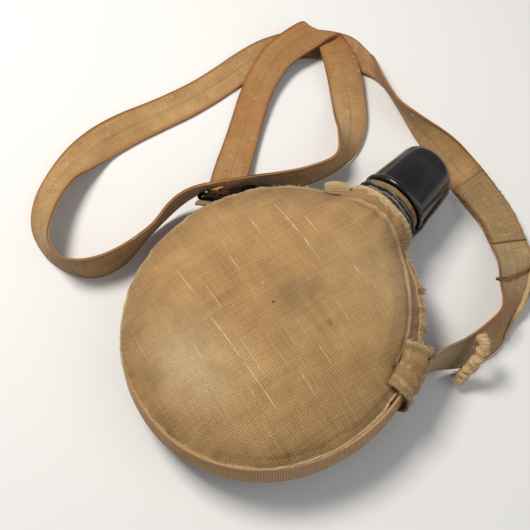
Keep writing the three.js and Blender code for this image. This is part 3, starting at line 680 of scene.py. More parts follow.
# stitched, doubled stretch
dbl, *_ = ribbon("strap_doubled_layer", 0.838, 0.884, 70, 15, 1.6, M_WEB, lift=2.1, narrow=0.93, curl=0.5, v_off=3.3, edge_noise=1.0, seed=4,
                 extra=lambda u, s, P: dict(green=np.clip(0.45 + 0.35 * fbm(P, 0.15, 8), 0, 0.8), stain=0.18 + 0.2 * sstep(np.abs(s), 0.4, 0.5), tone=0.02 + 0 * u, pale=0.3 * sstep(fbm(P, 0.3, 9), 0.3, 0.7)))
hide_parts("strap_doubled_end")
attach(dbl, "canteen")
# rows of stitches across and along it
st_p = []
for (ua, sa, ub, sb) in [(0.842, -0.38, 0.842, 0.38), (0.880, -0.38, 0.880, 0.38), (0.842, -0.38, 0.880, -0.38), (0.842, 0.38, 0.880, 0.38), (0.861, -0.38, 0.861, 0.38)]:
    k = 16
    for i in range(k):
        f0, f1 = (i + 0.12) / k, (i + 0.78) / k
        pts = []
        for f in (f0, (f0 + f1) / 2, f1):
            u_, s_ = ua + (ub - ua) * f, sa + (sb - sa) * f
            c, t, w, n = strap_at(u_)
            pts.append((c + w * 27 * s_ + n * (2.1 + 0.8 + 0.45 + (0.16 if f == (f0 + f1) / 2 else 0)))[0])
        st_p.append(pts)
Vs, Fs = [], []
for pts in st_p:
    pts = np.array(pts)
    T = pts[-1] - pts[0]
    T /= np.linalg.norm(T)
    S = np.cross(T, [0.1, 0.2, 1.0])
    S /= np.linalg.norm(S)
    U = np.cross(S, T)
    o = sum(len(v) for v in Vs)
    P = np.stack([pts + S * 0.28 * math.cos(q) + U * 0.28 * math.sin(q) for q in (0, 1.571, 3.142, 4.712)], 1)
    Vs.append(P.reshape(-1, 3))
    Fs.append(grid_faces(3, 4, False, True, o))
stitch = mesh("strap_stitches", np.concatenate(Vs), np.concatenate(Fs), None, None, M_YARN)
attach(stitch, "canteen")

# the strap's frame at its start, by the ring
c0, t0, w0, n0 = strap_at(0.004)
c0, t0, w0, n0 = c0[0], t0[0], w0[0], n0[0]

# frayed, rolled free end
tail = catmull([(106.2, 84.6, 29.2), (109.2, 82.6, 31.2), (111.6, 79.0, 29.6), (112.8, 74.3, 26.0), (112.9, 69.0, 20.0), (112.4, 63.9, 12.5), (111.4, 59.2, 6.5)], np.linspace(0, 1, 90))
rad = 3.7 + 0.5 * np.sin(np.linspace(0, 1, 90) * 40) * 0.35 + 0.5 * sstep(np.linspace(0, 1, 90), 0.75, 1)
roll = tube("strap_rolled_end", tail, rad, 28, M_BAND, wob=0.34, seed=9, uvs=1.0)
for q in ("tone", "green", "stain", "pale"):
    at = roll.data.attributes.new(q, "FLOAT", "POINT")
    at.data.foreach_set("value", np.full(len(roll.data.vertices), {"pale": 0.35, "tone": 0.1}.get(q, 0.0)))
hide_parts("strap_frayed_end")
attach(roll, "canteen")
st, dr, ln = [], [], []
for i in range(150):
    f = rng.uniform(0, 1) ** 0.6
    k = int(f * 89)
    p = tail[k] + rng.normal(0, 1, 3) * 2.2
    d = (tail[min(k + 1, 89)] - tail[max(k - 1, 0)])
    d = d / np.linalg.norm(d) * (1.5 if f > 0.9 else 0.2) + rng.normal(0, 0.8, 3)
    st.append(p); dr.append(d); ln.append(rng.uniform(1.5, 5.0))
fr1 = threads("strap_end_fray", st, dr, ln, 0.22, M_YARN, 0.9, 21)
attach(fr1, "canteen")
# fray along the doubled stretch and the selvage beyond the slide
st, dr, ln = [], [], []
for i in range(230):
    u_ = rng.uniform(0.835, 0.90) if i < 150 else rng.uniform(0.925, 0.96)
    sd = rng.choice([-1, 1])
    c, t, w, n = strap_at(u_)
    st.append((c + w * 13.0 * sd + n * rng.uniform(0, 2.6))[0])
    dr.append((w * sd + t * rng.normal(0, 0.9) + n * rng.normal(0, 0.5))[0])
    ln.append(rng.uniform(0.8, 2.8))
fr2 = threads("strap_selvage_fray", st, dr, ln, 0.16, M_YARN_O, 0.8, 22)
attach(fr2, "canteen")

path = W(C)[::6].tolist() + [W(C[-1]).tolist()]



# ------------------------------------------------------------------ cover
def hem_mix(th):
    """1 where the panels' edge belongs to the neck opening, 0 where it is the round seam."""
    d = np.degrees((th - np.pi / 2 + np.pi) % (2 * np.pi) - np.pi)
    return 1 - sstep(np.abs(d), 18.5, 26.0), np.clip(-d / 20.0, -1.12, 1.12)


def edge_curve(th, top=True):
    c, s = np.cos(th), np.sin(th)
    if top:
        dg = np.degrees(np.arctan2(s, c))
        rt = sstep(dg, 4, 20) * (1 - sstep(dg, 66, 76))
        lo = 0.5 - 0.5 * np.cos(np.radians(dg) * 0 + np.pi * np.clip(np.cos(np.radians(dg + 84)) * 0.9 + 0.55, 0, 1))
        E = np.stack([-1.2 + (89.6 + 2.6 * rt + 2.5 * lo) * c, -1.6 + (98.4 + 2.4 * lo + 2.4 * rt) * s, 45.0 - 8.0 * rt - 2.6 * lo], -1)
    else:
        E = np.stack([0 + 88.8 * c, 0 + 97.4 * s, 15.6 + 0 * c], -1)
    flat = 1 - 0.016 * np.clip(-s, 0, 1) ** 8
    E[..., 1] *= flat
    f, x = hem_mix(th)
    phi = x * 1.48
    sg = 1.0 if top else -1.0
    H = np.stack([27.4 * np.sin(phi), 106.2 + 0 * phi, 31 + sg * 27.4 * np.cos(phi)], -1)
    E = E * (1 - f[..., None]) + H * f[..., None]
    # puckered stitching
    pk = 0.35 * np.sin(th * 61 + 1.7 * np.sin(th * 7)) + 0.5 * noise(np.stack([c * 9, s * 9, 0 * c], -1), 1.0, 3)
    E[..., 2] += pk * 0.5
    out = np.stack([c, s, 0 * c], -1)
    return E + out * (0.5 * noise(np.stack([c * 14, s * 14, 0 * c], -1), 1.0, 8))[..., None]


GR = math.radians(-13.8)          # the weave lies a little askew


def weave_uv(x, y):
    return np.stack([x * math.cos(GR) + y * math.sin(GR), -x * math.sin(GR) + y * math.cos(GR)], -1)


nt, nr = 400, 96
th = np.linspace(0, 2 * np.pi, nt, endpoint=False)
rho = np.linspace(0.004, 1.0, nr) ** 0.92
E = edge_curve(th)
cen = np.array([-1.5, -1.0, 0])
P = np.zeros((nt, nr, 3))
kern = np.exp(-(np.arange(-44, 45) / 20.0) ** 2)
kern /= kern.sum()
ES = np.stack([np.convolve(np.r_[E[-44:, q], E[:, q], E[:44, q]], kern, "valid") for q in range(3)], -1)
wr = (rho ** 5)[None, :, None]
EE = ES[:, None] * (1 - wr) + E[:, None] * wr
P[..., :2] = cen[:2] + rho[None, :, None] * (EE[..., :2] - cen[:2])
fh, xh = hem_mix(th)
dome = (1 - rho[None] ** 3.5) ** 0.95
P[..., 2] = EE[..., 2] + (63.6 - EE[..., 2]) * dome
rr = rho[None] + 0 * th[:, None]
TH = th[:, None] + 0 * rho[None]
P[..., 2] += 0.75 * fbm(P * [1, 1, 0], 0.021, 2) * sstep(1 - rr, 0.0, 0.12)
P[..., 2] += 0.30 * fbm(P * [1, 1, 0], 0.075, 12) * sstep(1 - rr, 0.0, 0.1)
# puckers running in from the seam
pk = np.sin(TH * 61 + 1.7 * np.sin(TH * 7)) * np.exp(-((1 - rr) / 0.045) ** 2) * sstep(1 - rr, 0.0, 0.02)
P[..., 2] += 0.45 * pk * (0.6 + 0.6 * noise(np.stack([np.cos(TH) * 5, np.sin(TH) * 5, 0 * TH], -1), 1.0, 44))
# folds drawn towards the neck opening
dn = np.hypot(P[..., 0], P[..., 1] - 108)
ang = np.arctan2(P[..., 0], 118 - P[..., 1])
fold = np.sin(ang * 15 + 1.2) * np.exp(-(dn / 30.0) ** 2) * sstep(dn, 4, 14)
P[..., 2] += 0.9 * fold
# one long crease below the left of the neck, and a soft hollow beside it
def line_dist(P, p0, p1):
    p0, p1 = np.array(p0, float), np.array(p1, float)
    d = p1 - p0
    t = np.clip(((P[..., :2] - p0) @ d) / (d @ d), 0, 1)
    q = p0 + t[..., None] * d
    return np.hypot(*(np.moveaxis(P[..., :2] - q, -1, 0))), t
RIDGE = [(-24, 91), (-9.8, 95.2), (1.6, 97.3), (14.6, 97.0), (26.1, 93.4), (39.3, 84.8), (53.0, 71.4), (62.2, 60.2), (69.6, 49.0), (74.5, 38.5), (77.5, 26.0)]
RD = 1e9
for q0, q1 in zip(RIDGE[:-1], RIDGE[1:]):
    RD = np.minimum(RD, line_dist(P, q0, q1)[0])
ridge_in = np.hypot(P[..., 0] / 1.0, P[..., 1] / 1.13) > 85.2
RF = sstep(P[..., 0], -24, -8)
P[..., 2] += 1.0 * np.exp(-(RD / 1.05) ** 2) * RF
P[..., 2] -= 0.9 * np.exp(-((RD - 2.6) / 1.6) ** 2) * RF
P[..., 2] -= 0.9 * RF * ridge_in * sstep(RD, 2, 6) * sstep(P[..., 0], 30, 45) * (1 + 0.8 * fbm(P * [1, 1, 0], 0.12, 321))
from mathutils.bvhtree import BVHTree
_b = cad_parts["bottle_front_shell"]
_m = _b.matrix_world
_t = BVHTree.FromPolygons([_m @ v.co for v in _b.data.vertices], [tuple(p.vertices) for p in _b.data.polygons])
for i_ in range(nt):
    for j_ in range(nr):
        q_ = W(P[i_, j_])
        h_ = _t.ray_cast(Vector((float(q_[0]), float(q_[1]), 0.09)), Vector((0, 0, -1)))
        if h_[0] is not None:
            P[i_, j_, 2] = max(P[i_, j_, 2], h_[0].z * 1000 + 1.35)
uv = weave_uv(P[..., 0], P[..., 1])
edge_d = sstep(rr, 0.78, 1.0)
stain = np.clip(0.34 * edge_d * (0.55 + 0.9 * fbm(P, 0.03, 61)) + 0.25 * sstep(fbm(P * [1, 1, 0], 0.018, 63), 0.25, 0.7), 0, 0.7)
worn = np.exp(-(((P[..., 0] + 12) / 34) ** 2 + ((P[..., 1] + 62) / 22) ** 2))
worn2 = np.exp(-(((P[..., 0] - 35) / 30) ** 2 + ((P[..., 1] - 60) / 22) ** 2))
pale = np.clip(0.42 * worn + 0.14 * worn2 + 0.5 * np.exp(-((1 - rr) / 0.010) ** 2) * (0.5 + 0.8 * noise(P, 0.15, 70)), 0, 0.7)
tone = 0.10 * worn + 0.06 * worn2 - 0.10 * edge_d
# pale line along the crease's crest: partly rubbed wear, partly painted highlight; the stain just beside it is painted
# shade in the crease's hollow
pale = np.clip(pale + 0.5 * np.exp(-(RD / 1.0) ** 2) * RF, 0, 0.8)
stain = np.clip(stain + 0.22 * np.exp(-((RD - 2.4) / 1.2) ** 2) * RF, 0, 0.8)
def blot(x, y, sx, sy, a_):
    c_, s_ = math.cos(a_), math.sin(a_)
    dx, dy = P[..., 0] - x, P[..., 1] - y
    return np.exp(-(((dx * c_ + dy * s_) / sx) ** 2 + ((-dx * s_ + dy * c_) / sy) ** 2))
nz = fbm(P * [1, 1, 0], 0.22, 90)
ink = 0.75 * blot(19.5, 70.2, 3.2, 2.2, 0.4) * (0.7 + nz) + 0.55 * blot(33.0, 13.0, 1.7, 1.3, 0.2)
ink = ink + 0.34 * sstep(blot(8.0, 12.0, 24.0, 15.0, 1.0), 0.25, 0.8) * np.clip(0.55 + 0.9 * fbm(P * [1, 1, 0], 0.09, 92), 0, 1)
front = sheet_solid("cover_front", P, 1.5, uv, M_CANVAS, dict(tone=tone, stain=stain, pale=pale, ink=np.clip(ink, 0, 0.85)), wrap_n=True)
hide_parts("cover_front_panel")
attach(front, "canteen")
FRONT = P

# back panel: flat in the middle, curling up to its seam
Eb = edge_curve(th, False)
nrb = 60
rhob = np.linspace(0.004, 1.0, nrb) ** 0.8
P = np.zeros((nt, nrb, 3))
P[..., :2] = rhob[None, :, None] * Eb[:, None, :2]
kk = np.clip((rhob[None] - 0.62) / 0.38, 0, 1) ** 1.8
P[..., 2] = 0.95 + (Eb[:, None, 2] - 0.95) * kk
P[..., 2] += np.abs(0.35 * fbm(P * [1, 1, 0], 0.05, 22)) * sstep(rhob[None], 0.4, 0.8)
z0 = 0 * P[..., 0]
back_p = sheet_solid("cover_back", P, 1.4, weave_uv(P[..., 0], P[..., 1]), M_GUSSET,
                     dict(tone=-0.04 + z0, stain=0.2 * sstep(rhob[None] + z0, 0.5, 1), pale=z0, ink=z0), wrap_n=True, flip=True)
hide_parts("cover_back_panel")
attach(back_p, "canteen")

# gusset between the two seams
ns = 34
sg = np.linspace(0, 1, ns)
thg = np.radians(90 + np.linspace(18.0, 342.0, 380))
Eg, Ebg = edge_curve(thg), edge_curve(thg, False)
P = Eg[:, None] * (1 - sg[None, :, None]) + Ebg[:, None] * sg[None, :, None]
out = np.stack([np.cos(thg), np.sin(thg) * 0.92, 0 * thg], -1)
out /= np.linalg.norm(out, axis=1)[:, None]
fh, _x = hem_mix(thg)
bul = 2.7 * np.sin(np.pi * sg[None]) ** 0.8 * (1 - fh[:, None]) ** 1.2
P = P + out[:, None] * bul[..., None]
nz = fbm(P, 0.06, 33)
P = P + out[:, None] * (0.55 * nz * np.sin(np.pi * sg[None]))[..., None]
arc = np.r_[0, np.cumsum(np.linalg.norm(np.diff(Ebg, axis=0), axis=1))]
uv = np.stack([arc[:, None] + 0 * sg[None], sg[None] * 31 + 0 * arc[:, None]], -1)
z0 = 0 * P[..., 0]
gus = sheet_solid("cover_gusset_cloth", P, 1.4, uv, M_GUSSET,
                  dict(tone=-0.03 + 0.05 * nz, stain=np.clip(0.18 + 0.3 * nz, 0, 0.6), pale=np.clip(0.25 * np.exp(-((sg[None] - 0.06) / 0.05) ** 2) + z0, 0, 1), ink=z0))
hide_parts("cover_gusset")
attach(gus, "canteen")
GUS = P


def seam_bead(name, curve, r, mat, node, keep=None, seed=0):
    n = len(curve)
    T = np.roll(curve, -1, 0) - np.roll(curve, 1, 0)
    T /= np.linalg.norm(T, axis=1)[:, None]
    o = curve * [1, 1, 0]
    o /= np.linalg.norm(o, axis=1)[:, None]
    U = np.cross(T, o)
    U /= np.linalg.norm(U, axis=1)[:, None]
    seg = 10
    a_ = np.linspace(0, 2 * np.pi, seg, endpoint=False)
    k = np.arange(n)
    rr_ = r * (1 + 0.22 * noise(np.stack([k * 0.9, 0 * k, 0 * k], -1), 1.0, 77 + seed) + 0.12 * np.sin(k * 1.1))
    Pb = curve[:, None] + o[:, None] * (rr_[:, None] * np.cos(a_) * 1.1)[..., None] + U[:, None] * (rr_[:, None] * np.sin(a_))[..., None]
    uv_ = np.stack([k[:, None] * 1.5 + 0 * a_[None], a_[None] * r + 0 * k[:, None]], -1)
    z_ = np.zeros((n, seg))
    at_ = dict(tone=z_ + 0.05, stain=z_ + 0.05, pale=np.clip(0.35 + 0.4 * noise(Pb, 0.12, 5 + seed), 0, 0.8), ink=z_)
    ob = mesh(name, Pb.reshape(-1, 3), grid_faces(n, seg, True, True), uv_.reshape(-1, 2), {q: v.ravel() for q, v in at_.items()}, mat)
    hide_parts(node)
    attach(ob, "canteen")
    return ob


th2 = np.linspace(0, 2 * np.pi, 900, endpoint=False)
E2, Eb2 = edge_curve(th2), edge_curve(th2, False)
o2 = np.stack([np.cos(th2), np.sin(th2), 0 * th2], -1)
seam_bead("front_seam_ridge", E2 + o2 * 0.6 + [0, 0, 0.3], 0.85, M_HEM, "front_seam_edge")
seam_bead("back_seam_ridge", Eb2 + o2 * 0.8, 0.95, M_GUSSET, "back_seam_edge", seed=3)

# hem rolled round the neck opening
pf = [(26.0, 101.0), (27.3, 103.5), (28.6, 105.3), (29.0, 106.9), (28.3, 108.1), (27.0, 108.3), (26.1, 107.2), (25.9, 105.2), (25.6, 103.0)]
hem = lathe_neck("neck_hem_roll", smooth_profile(pf + [pf[0]], 5)[:-1], 220, M_HEM,
                 wob=lambda T, r, y: (0.55 * noise(np.stack([np.cos(T) * 7, np.sin(T) * 7, y * 0.2], -1), 1.0, 14) + 0.25 * np.sin(T * 33), 0.7 * noise(np.stack([np.cos(T) * 3, np.sin(T) * 3, 0 * y], -1), 1.0, 15)))
for q, val in (("tone", 0.1), ("stain", 0.04), ("pale", 0.4), ("ink", 0.0)):
    at = hem.data.attributes.new(q, "FLOAT", "POINT")
    at.data.foreach_set("value", np.full(len(hem.data.vertices), val))
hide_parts("neck_opening_hem")
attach(hem, "canteen")

# small loose flap left of the neck
k = 26
fy = np.linspace(0, 1, k)
prof = catmull([(0, -2.5, -2.5), (0, 0.5, 0.2), (0, 3.6, 1.6), (0, 5.6, 0.6), (0, 5.2, -1.2), (0, 2.6, -1.0)], fy)
wv = np.linspace(-1, 1, 30)
base = np.array([-31.5, 97.0, 46.5])
ax = np.array([0.80, 0.60, 0.0]); ay = np.array([-0.60, 0.80, 0.0])
P = base + wv[None, :, None] * 9.0 * ax + (prof[:, 1, None] * (1 - 0.45 * wv[None] ** 2))[..., None] * ay + (prof[:, 2, None] * (1 - 0.3 * wv[None] ** 2))[..., None] * np.array([0, 0, 1.0])
z0 = 0 * P[..., 0]
flap = sheet_solid("opening_flap_cloth", P, 1.1, np.stack([wv[None] * 9 + 0 * fy[:, None], fy[:, None] * 14 + 0 * wv[None]], -1), M_HEM,
                   dict(tone=0.1 + z0, stain=z0, pale=0.35 + 0.2 * noise(P, 0.2, 3), ink=z0))
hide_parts("opening_flap")
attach(flap, "canteen")

# ------------------------------------------------------------------ webbing round the edge
def on_edge(deg, r, z):
    t = np.radians(deg)
    return np.stack([r * np.cos(t), r * (103 / 94) * np.sin(t), z + 0 * t], -1)


n = 420
dg = np.linspace(11, -200, n)
s = np.linspace(-0.5, 0.5, 17)
Pc = on_edge(dg, 94.6, 30.6)
o = Pc * [1, 1, 0]
o /= np.linalg.norm(o, axis=1)[:, None]
arc = np.r_[0, np.cumsum(np.linalg.norm(np.diff(Pc, axis=0), axis=1))]
P = Pc[:, None] + np.array([0, 0, 25.0]) * s[None, :, None]
rip = 0.35 * fbm(np.stack([arc[:, None] + 0 * s, 12 * s + 0 * arc[:, None], 0 * s + 0 * arc[:, None]], -1), 0.05, 91)
P = P + o[:, None] * (1.0 * (1 - (2 * s) ** 2)[None] + rip - (2.4 * s + 0.5)[None])[..., None]
P[..., 2] += (1.1 * fbm(np.stack([arc, 0 * arc, 0 * arc], -1), 0.012, 93))[:, None]
uv = np.stack([(s[None] + 0.5) * 25.0 + 0 * arc[:, None], arc[:, None] + 0 * s[None]], -1)
nz = fbm(P, 0.03, 95)
z0 = 0 * P[..., 0]
band = sheet_solid("edge_webbing_band", P, 1.8, uv, M_BAND, dict(tone=0.06 + 0.06 * nz, stain=np.clip(0.12 + 0.25 * nz, 0, 0.5), green=z0, pale=np.clip(0.12 * sstep(s[None], 0.3, 0.5) + z0, 0, 1)))
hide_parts("edge_webbing")
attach(band, "canteen")

# ------------------------------------------------------------------ keeper
na, nb_ = 70, 46
da = np.linspace(7.5, 27.5, na)
# section across the edge: from the front seam over the webbing to the back
sec = catmull([(83.0, 48.6), (88.5, 48.2), (94.2, 46.0), (98.6, 42.0), (100.2, 36.0), (100.4, 28.0), (99.2, 20.0), (96.2, 15.4), (92.6, 13.6)], np.linspace(0, 1, nb_)) if False else None
secp = np.array([(82.5, 49.4), (88.5, 48.8), (94.2, 46.6), (98.4, 42.4), (100.0, 36.0), (100.2, 28.0), (99.0, 20.0), (96.0, 15.6), (92.4, 13.8)])
q = np.c_[secp, np.zeros(len(secp))]
sec = catmull(q, np.linspace(0, 1, nb_))[:, :2]
S_ = np.linspace(0, 1, nb_)
P = np.zeros((na, nb_, 3))
for i, d in enumerate(da):
    f = (d - da[0]) / (da[-1] - da[0])
    rr_ = sec[:, 0] + 0
    ridge = 2.1 * np.exp(-((f - 0.18 - 0.10 * (S_ - 0.3)) / 0.075) ** 2) + 1.8 * np.exp(-((f - 0.50 + 0.10 * S_) / 0.07) ** 2) + 1.6 * np.exp(-((f - 0.84) / 0.07) ** 2) - 0.9 * np.exp(-((f - 0.66) / 0.06) ** 2)
    nrm = np.gradient(sec, axis=0)
    nrm = np.stack([-nrm[:, 1], nrm[:, 0]], -1)
    nrm = -nrm / np.linalg.norm(nrm, axis=1)[:, None]
    sc = sec + nrm * (-(ridge - 0.3))[:, None] * -1 * sstep(S_, 0.0, 0.12)[:, None] * (1 - 0.6 * sstep(S_, 0.75, 1))[:, None]
    P[i] = on_edge(d + 0 * S_, sc[:, 0], sc[:, 1])
P += (1.3 * np.stack([fbm(P, 0.07, 105), fbm(P, 0.07, 106), 1.4 * fbm(P, 0.07, 107)], -1) + 0.9 * np.stack([fbm(P, 0.16, 101), fbm(P, 0.16, 102), fbm(P, 0.16, 103)], -1))
f_ = (da - da[0]) / (da[-1] - da[0])
nz = fbm(P, 0.2, 104)
palev = np.clip(0.75 * np.exp(-((f_[:, None] - 0.18) / 0.05) ** 2) * sstep(nz, -0.3, 0.3) + 0.7 * np.exp(-((f_[:, None] - 0.5) / 0.045) ** 2) * sstep(nz, -0.2, 0.4) + 0.5 * np.exp(-((f_[:, None] - 0.98) / 0.05) ** 2) + 0 * S_[None], 0, 0.85)
z0 = 0 * P[..., 0]
uv = np.stack([f_[:, None] * 34 + 0 * S_[None], S_[None] * 52 + 0 * f_[:, None]], -1)
keep = sheet_solid("keeper_cloth", P, 1.4, uv, M_CANVAS, dict(tone=0.05 * nz, stain=np.clip(0.2 + 0.3 * nz, 0, 0.6), pale=palev, ink=z0), flip=True)
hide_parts("keeper_loop")
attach(keep, "canteen")
KEEP = P
st, dr, ln = [], [], []
for i in range(260):
    r_ = int(rng.choice([int(0.18 * na), int(0.5 * na), na - 1, 0])) 
    r_ = int(np.clip(r_ + rng.randint(-2, 3), 0, na - 1))
    j_ = int(rng.randint(0, int(nb_ * 0.7)))
    p = KEEP[r_, j_]
    st.append(p + np.array([0.3, 0.2, 0.4])); dr.append(rng.normal(0, 0.8, 3) + np.array([0.5, 0.3, 0.5])); ln.append(rng.uniform(1.2, 4.0))
kf = threads("keeper_fray", st, dr, ln, 0.17, M_YARN, 1.0, 31)
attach(kf, "canteen")

# ------------------------------------------------------------------ ragged raw edges
def ragged(name, d0, d1, n, width, z, r0, mat, seed, droop=0.0):
    dg_ = np.linspace(d0, d1, n)
    Pc_ = on_edge(dg_, r0, z)
    o_ = Pc_ * [1, 1, 0]
    o_ /= np.linalg.norm(o_, axis=1)[:, None]
    k_ = np.arange(n) * abs(d1 - d0) / n
    wdt = width * (0.55 + 0.55 * fbm(np.stack([k_, 0 * k_, 0 * k_], -1), 0.55, seed) + 0.35 * noise(np.stack([k_, 0 * k_, 0 * k_], -1), 2.4, seed + 1))
    wdt = np.clip(wdt, 0.4, None) * np.sin(np.pi * np.clip((np.arange(n) + 0.5) / n, 0, 1)) ** 0.3
    s_ = np.linspace(0, 1, 9)
    Pr = Pc_[:, None] + o_[:, None] * (wdt[:, None] * s_)[..., None]
    Pr[..., 2] += (1.6 * fbm(np.stack([k_, 0 * k_, 0 * k_], -1), 0.4, seed + 2))[:, None] * s_ - droop * s_[None] ** 2
    uv_ = np.stack([k_[:, None] * 1.6 + 0 * s_[None], s_[None] * width + 0 * k_[:, None]], -1)
    z_ = 0 * Pr[..., 0]
    ob = sheet_solid(name, Pr, 0.9, uv_, mat, dict(tone=0.02 + z_, stain=0.12 + z_, pale=np.clip(0.55 * sstep(s_[None] + z_, 0.6, 1.0), 0, 1), ink=z_))
    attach(ob, "canteen")
    g = np.random.RandomState(seed)
    idx = g.randint(0, n, 150)
    st_ = Pr[idx, -1]
    dr_ = o_[idx] + g.normal(0, 0.7, (150, 3)) * [1, 1, 0.5]
    t_ = threads(name + "_yarn", st_, dr_, g.uniform(0.8, 3.4, 150), 0.17, M_YARN, 0.9, seed + 5)
    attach(t_, "canteen")
    return ob


ragged("gusset_raw_edge", 22, 71, 220, 3.2, 37.2, 91.6, M_CANVAS, 201, 0.6)
ragged("upper_left_raw_edge", 118, 150, 130, 2.4, 43.5, 90.4, M_HEM, 211, 0.4)
# two tufts of orange yarn on the right edge
st, dr, ln = [], [], []
for c_, k_ in (((57.4, 80.2, 37.5), 60), ((66.3, 70.0, 37.0), 30), ((74.6, 58.8, 37.0), 34), ((81.5, 44.0, 37.0), 24)):
    for i in range(k_):
        st.append(np.array(c_) + rng.normal(0, 1.3, 3)); dr.append(np.array([0.6, 0.7, 0.1]) + rng.normal(0, 0.7, 3)); ln.append(rng.uniform(1.5, 4.5))
tf = threads("edge_tufts", st, dr, ln, 0.2, M_YARN_O, 1.2, 41)
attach(tf, "canteen")

# ------------------------------------------------------------------ ring tab, ring, hook
RC = np.array([-94.2, 41.5, 27.0])
rT = np.array([0.8147, 0.5798, 0.0]); rN = np.array([-0.5798, 0.8147, 0.0])
pt = [(-14.5, 16.6), (-10.5, 13.6), (-7.4, 9.4), (-5.4, 4.6), (-3.8, 0.6), (-1.8, -2.2), (0.6, -3.0), (2.6, -1.9), (3.0, 0.2)]
q = catmull(np.c_[pt, np.zeros(len(pt))], np.linspace(0, 1, 110))
c = RC + q[:, :1] * rN + np.c_[0 * q[:, 1], 0 * q[:, 1], q[:, 1]]
s = np.linspace(-0.5, 0.5, 15)
P = c[:, None] + rT * 23.0 * s[None, :, None]
P += (rT * -1.5) * sstep(-q[:, 0], 4, 14)[:, None, None]
L = np.r_[0, np.cumsum(np.linalg.norm(np.diff(c, axis=0), axis=1))]
z0 = 0 * P[..., 0]
tab = sheet_solid("ring_tab_webbing", P, 1.3, np.stack([(s[None] + 0.5) * 22 + 0 * L[:, None], L[:, None] + 0 * s[None]], -1), M_TAB,
                  dict(tone=0.03 + z0, stain=0.1 + z0, green=z0, pale=0.25 * sstep(np.abs(s)[None] + z0, 0.42, 0.5)))
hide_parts("ring_tab")
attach(tab, "canteen")

for nd, m in (("steel_ring", M_STEEL), ("steel_hook", M_STEEL), ("hook_bracket", M_STEEL), ("wire_slide", M_COPPER), ("cap_stud", M_STEEL),
              ("bottle_front_shell", M_ALU), ("bottle_back_shell", M_ALU), ("threaded_neck", M_ALU), ("cap_seal_disc", M_FELT)):
    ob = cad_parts[nd]
    ob.data.materials.clear()
    ob.data.materials.append(m)
    for p_ in ob.data.polygons:
        p_.use_smooth = nd in ("steel_ring", "steel_hook", "wire_slide")
    if nd in ("hook_bracket", "cap_stud", "threaded_neck"):
        bv = ob.modifiers.new("edges", "BEVEL")
        bv.width = 0.0003
        bv.segments = 2
        bv.limit_method = "ANGLE"

ug = np.linspace(0.86, 0.96, 400)
u1 = ug[np.argmin(np.linalg.norm(catmull(SA, ug)[:, :2] - [92.9, 134.0], axis=1))]
u2 = ug[np.argmin(np.linalg.norm(catmull(SB, ug)[:, :2] - [103.5, 164.5], axis=1))]
wp = []
for f, sx, nz_ in [(0.0, -0.60, 0.6), (0.0, -0.53, 2.5), (0.25, -0.25, 2.8), (0.5, 0.0, 2.8), (0.75, 0.25, 2.8), (1.0, 0.51, 2.6), (1.02, 0.61, 0.2), (0.98, 0.53, -2.3), (0.7, 0.2, -2.7), (0.4, -0.1, -2.7), (0.1, -0.42, -2.5), (-0.02, -0.58, -1.0), (0.0, -0.60, 0.6)]:
    c_, t_, w_, n_ = strap_at(u1 + (u2 - u1) * f)
    wp.append((c_ + w_ * 27 * sx + n_ * nz_)[0])
wp = np.array(wp)
wp[:, 2] = np.maximum(wp[:, 2], 1.0)
wp = catmull(wp, np.linspace(0, 1, 150))
wire = tube("wire_slide_bent", wp, 0.75, 12, M_COPPER, wob=0.06, seed=12)
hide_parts("wire_slide")
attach(wire, "wire")
ep = []
for k_ in np.linspace(0, 1, 9):
    c_, t_, w_, n_ = strap_at(0.896 + 0.046 * k_)
    ep.append((c_ + w_ * 27 * (0.40 - 0.16 * k_ * (1 - k_)) + n_ * (2.1 - 0.3 * abs(k_ - 0.5)))[0])
er = tube("strap_curled_edge", catmull(ep, np.linspace(0, 1, 80)), 1.8 * np.sin(np.pi * np.linspace(0.06, 0.94, 80)) ** 0.4, 18, M_BAND, wob=0.25, seed=19)
for q in ("tone", "green", "stain", "pale"):
    at = er.data.attributes.new(q, "FLOAT", "POINT")
    at.data.foreach_set("value", np.full(len(er.data.vertices), {"pale": 0.3, "tone": 0.08}.get(q, 0.0)))
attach(er, "canteen")

# ------------------------------------------------------------------ neck collar, washer, cap, retaining strap
def rough_ring(name, y0, y1, ro, mat, seed, node=None, amp=1.2, ri=16.3):
    ym = (y0 + y1) / 2
    pf = [(ri, y0 + 0.2), (ri + 3, y0), (ro - 1.2, y0), (ro - 0.2, y0 + 0.35), (ro, ym), (ro - 0.2, y1 - 0.35), (ro - 1.2, y1), (ri + 3, y1), (ri, y1 - 0.2)]
    pr = smooth_profile(pf + [pf[0]], 4)[:-1]
    ob = lathe_neck(name, pr, 200, mat, wob=lambda T, r, y: (
        sstep(r, ri + 2, ro) * 2.4 * np.exp(-(((T - 5.6 + np.pi) % (2 * np.pi) - np.pi) / 0.22) ** 2) + amp * sstep(r, ri + 2, ro) * (0.7 * noise(np.stack([np.cos(T) * 3.1, np.sin(T) * 3.1, 0 * r], -1), 1.0, seed) + 0.4 * noise(np.stack([np.cos(T) * 9, np.sin(T) * 9, 0 * r], -1), 1.0, seed + 1)),
        0.8 * amp * sstep(r, ri + 2, ro) * (0.6 * noise(np.stack([np.cos(T) * 4, np.sin(T) * 4, 0 * r], -1), 1.0, seed + 2) + 0.3 * noise(np.stack([np.cos(T) * 13, np.sin(T) * 13, 0 * r], -1), 1.0, seed + 3))))
    if node:
        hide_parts(node)
    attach(ob, "canteen")
    return ob


c1 = rough_ring("collar_layer_low", 108.9, 110.6, 25.6, M_HIDE, 301, "neck_collar", amp=1.9)
c2 = rough_ring("collar_layer_mid", 111.9, 113.4, 24.6, M_HIDE2, 311, amp=1.7)
c3 = rough_ring("collar_layer_top", 114.7, 116.3, 25.2, M_HIDE, 321, amp=1.6)
ws = rough_ring("neck_felt_washer", 117.6, 121.2, 23.2, M_FELT, 331, "neck_washer", amp=0.5)

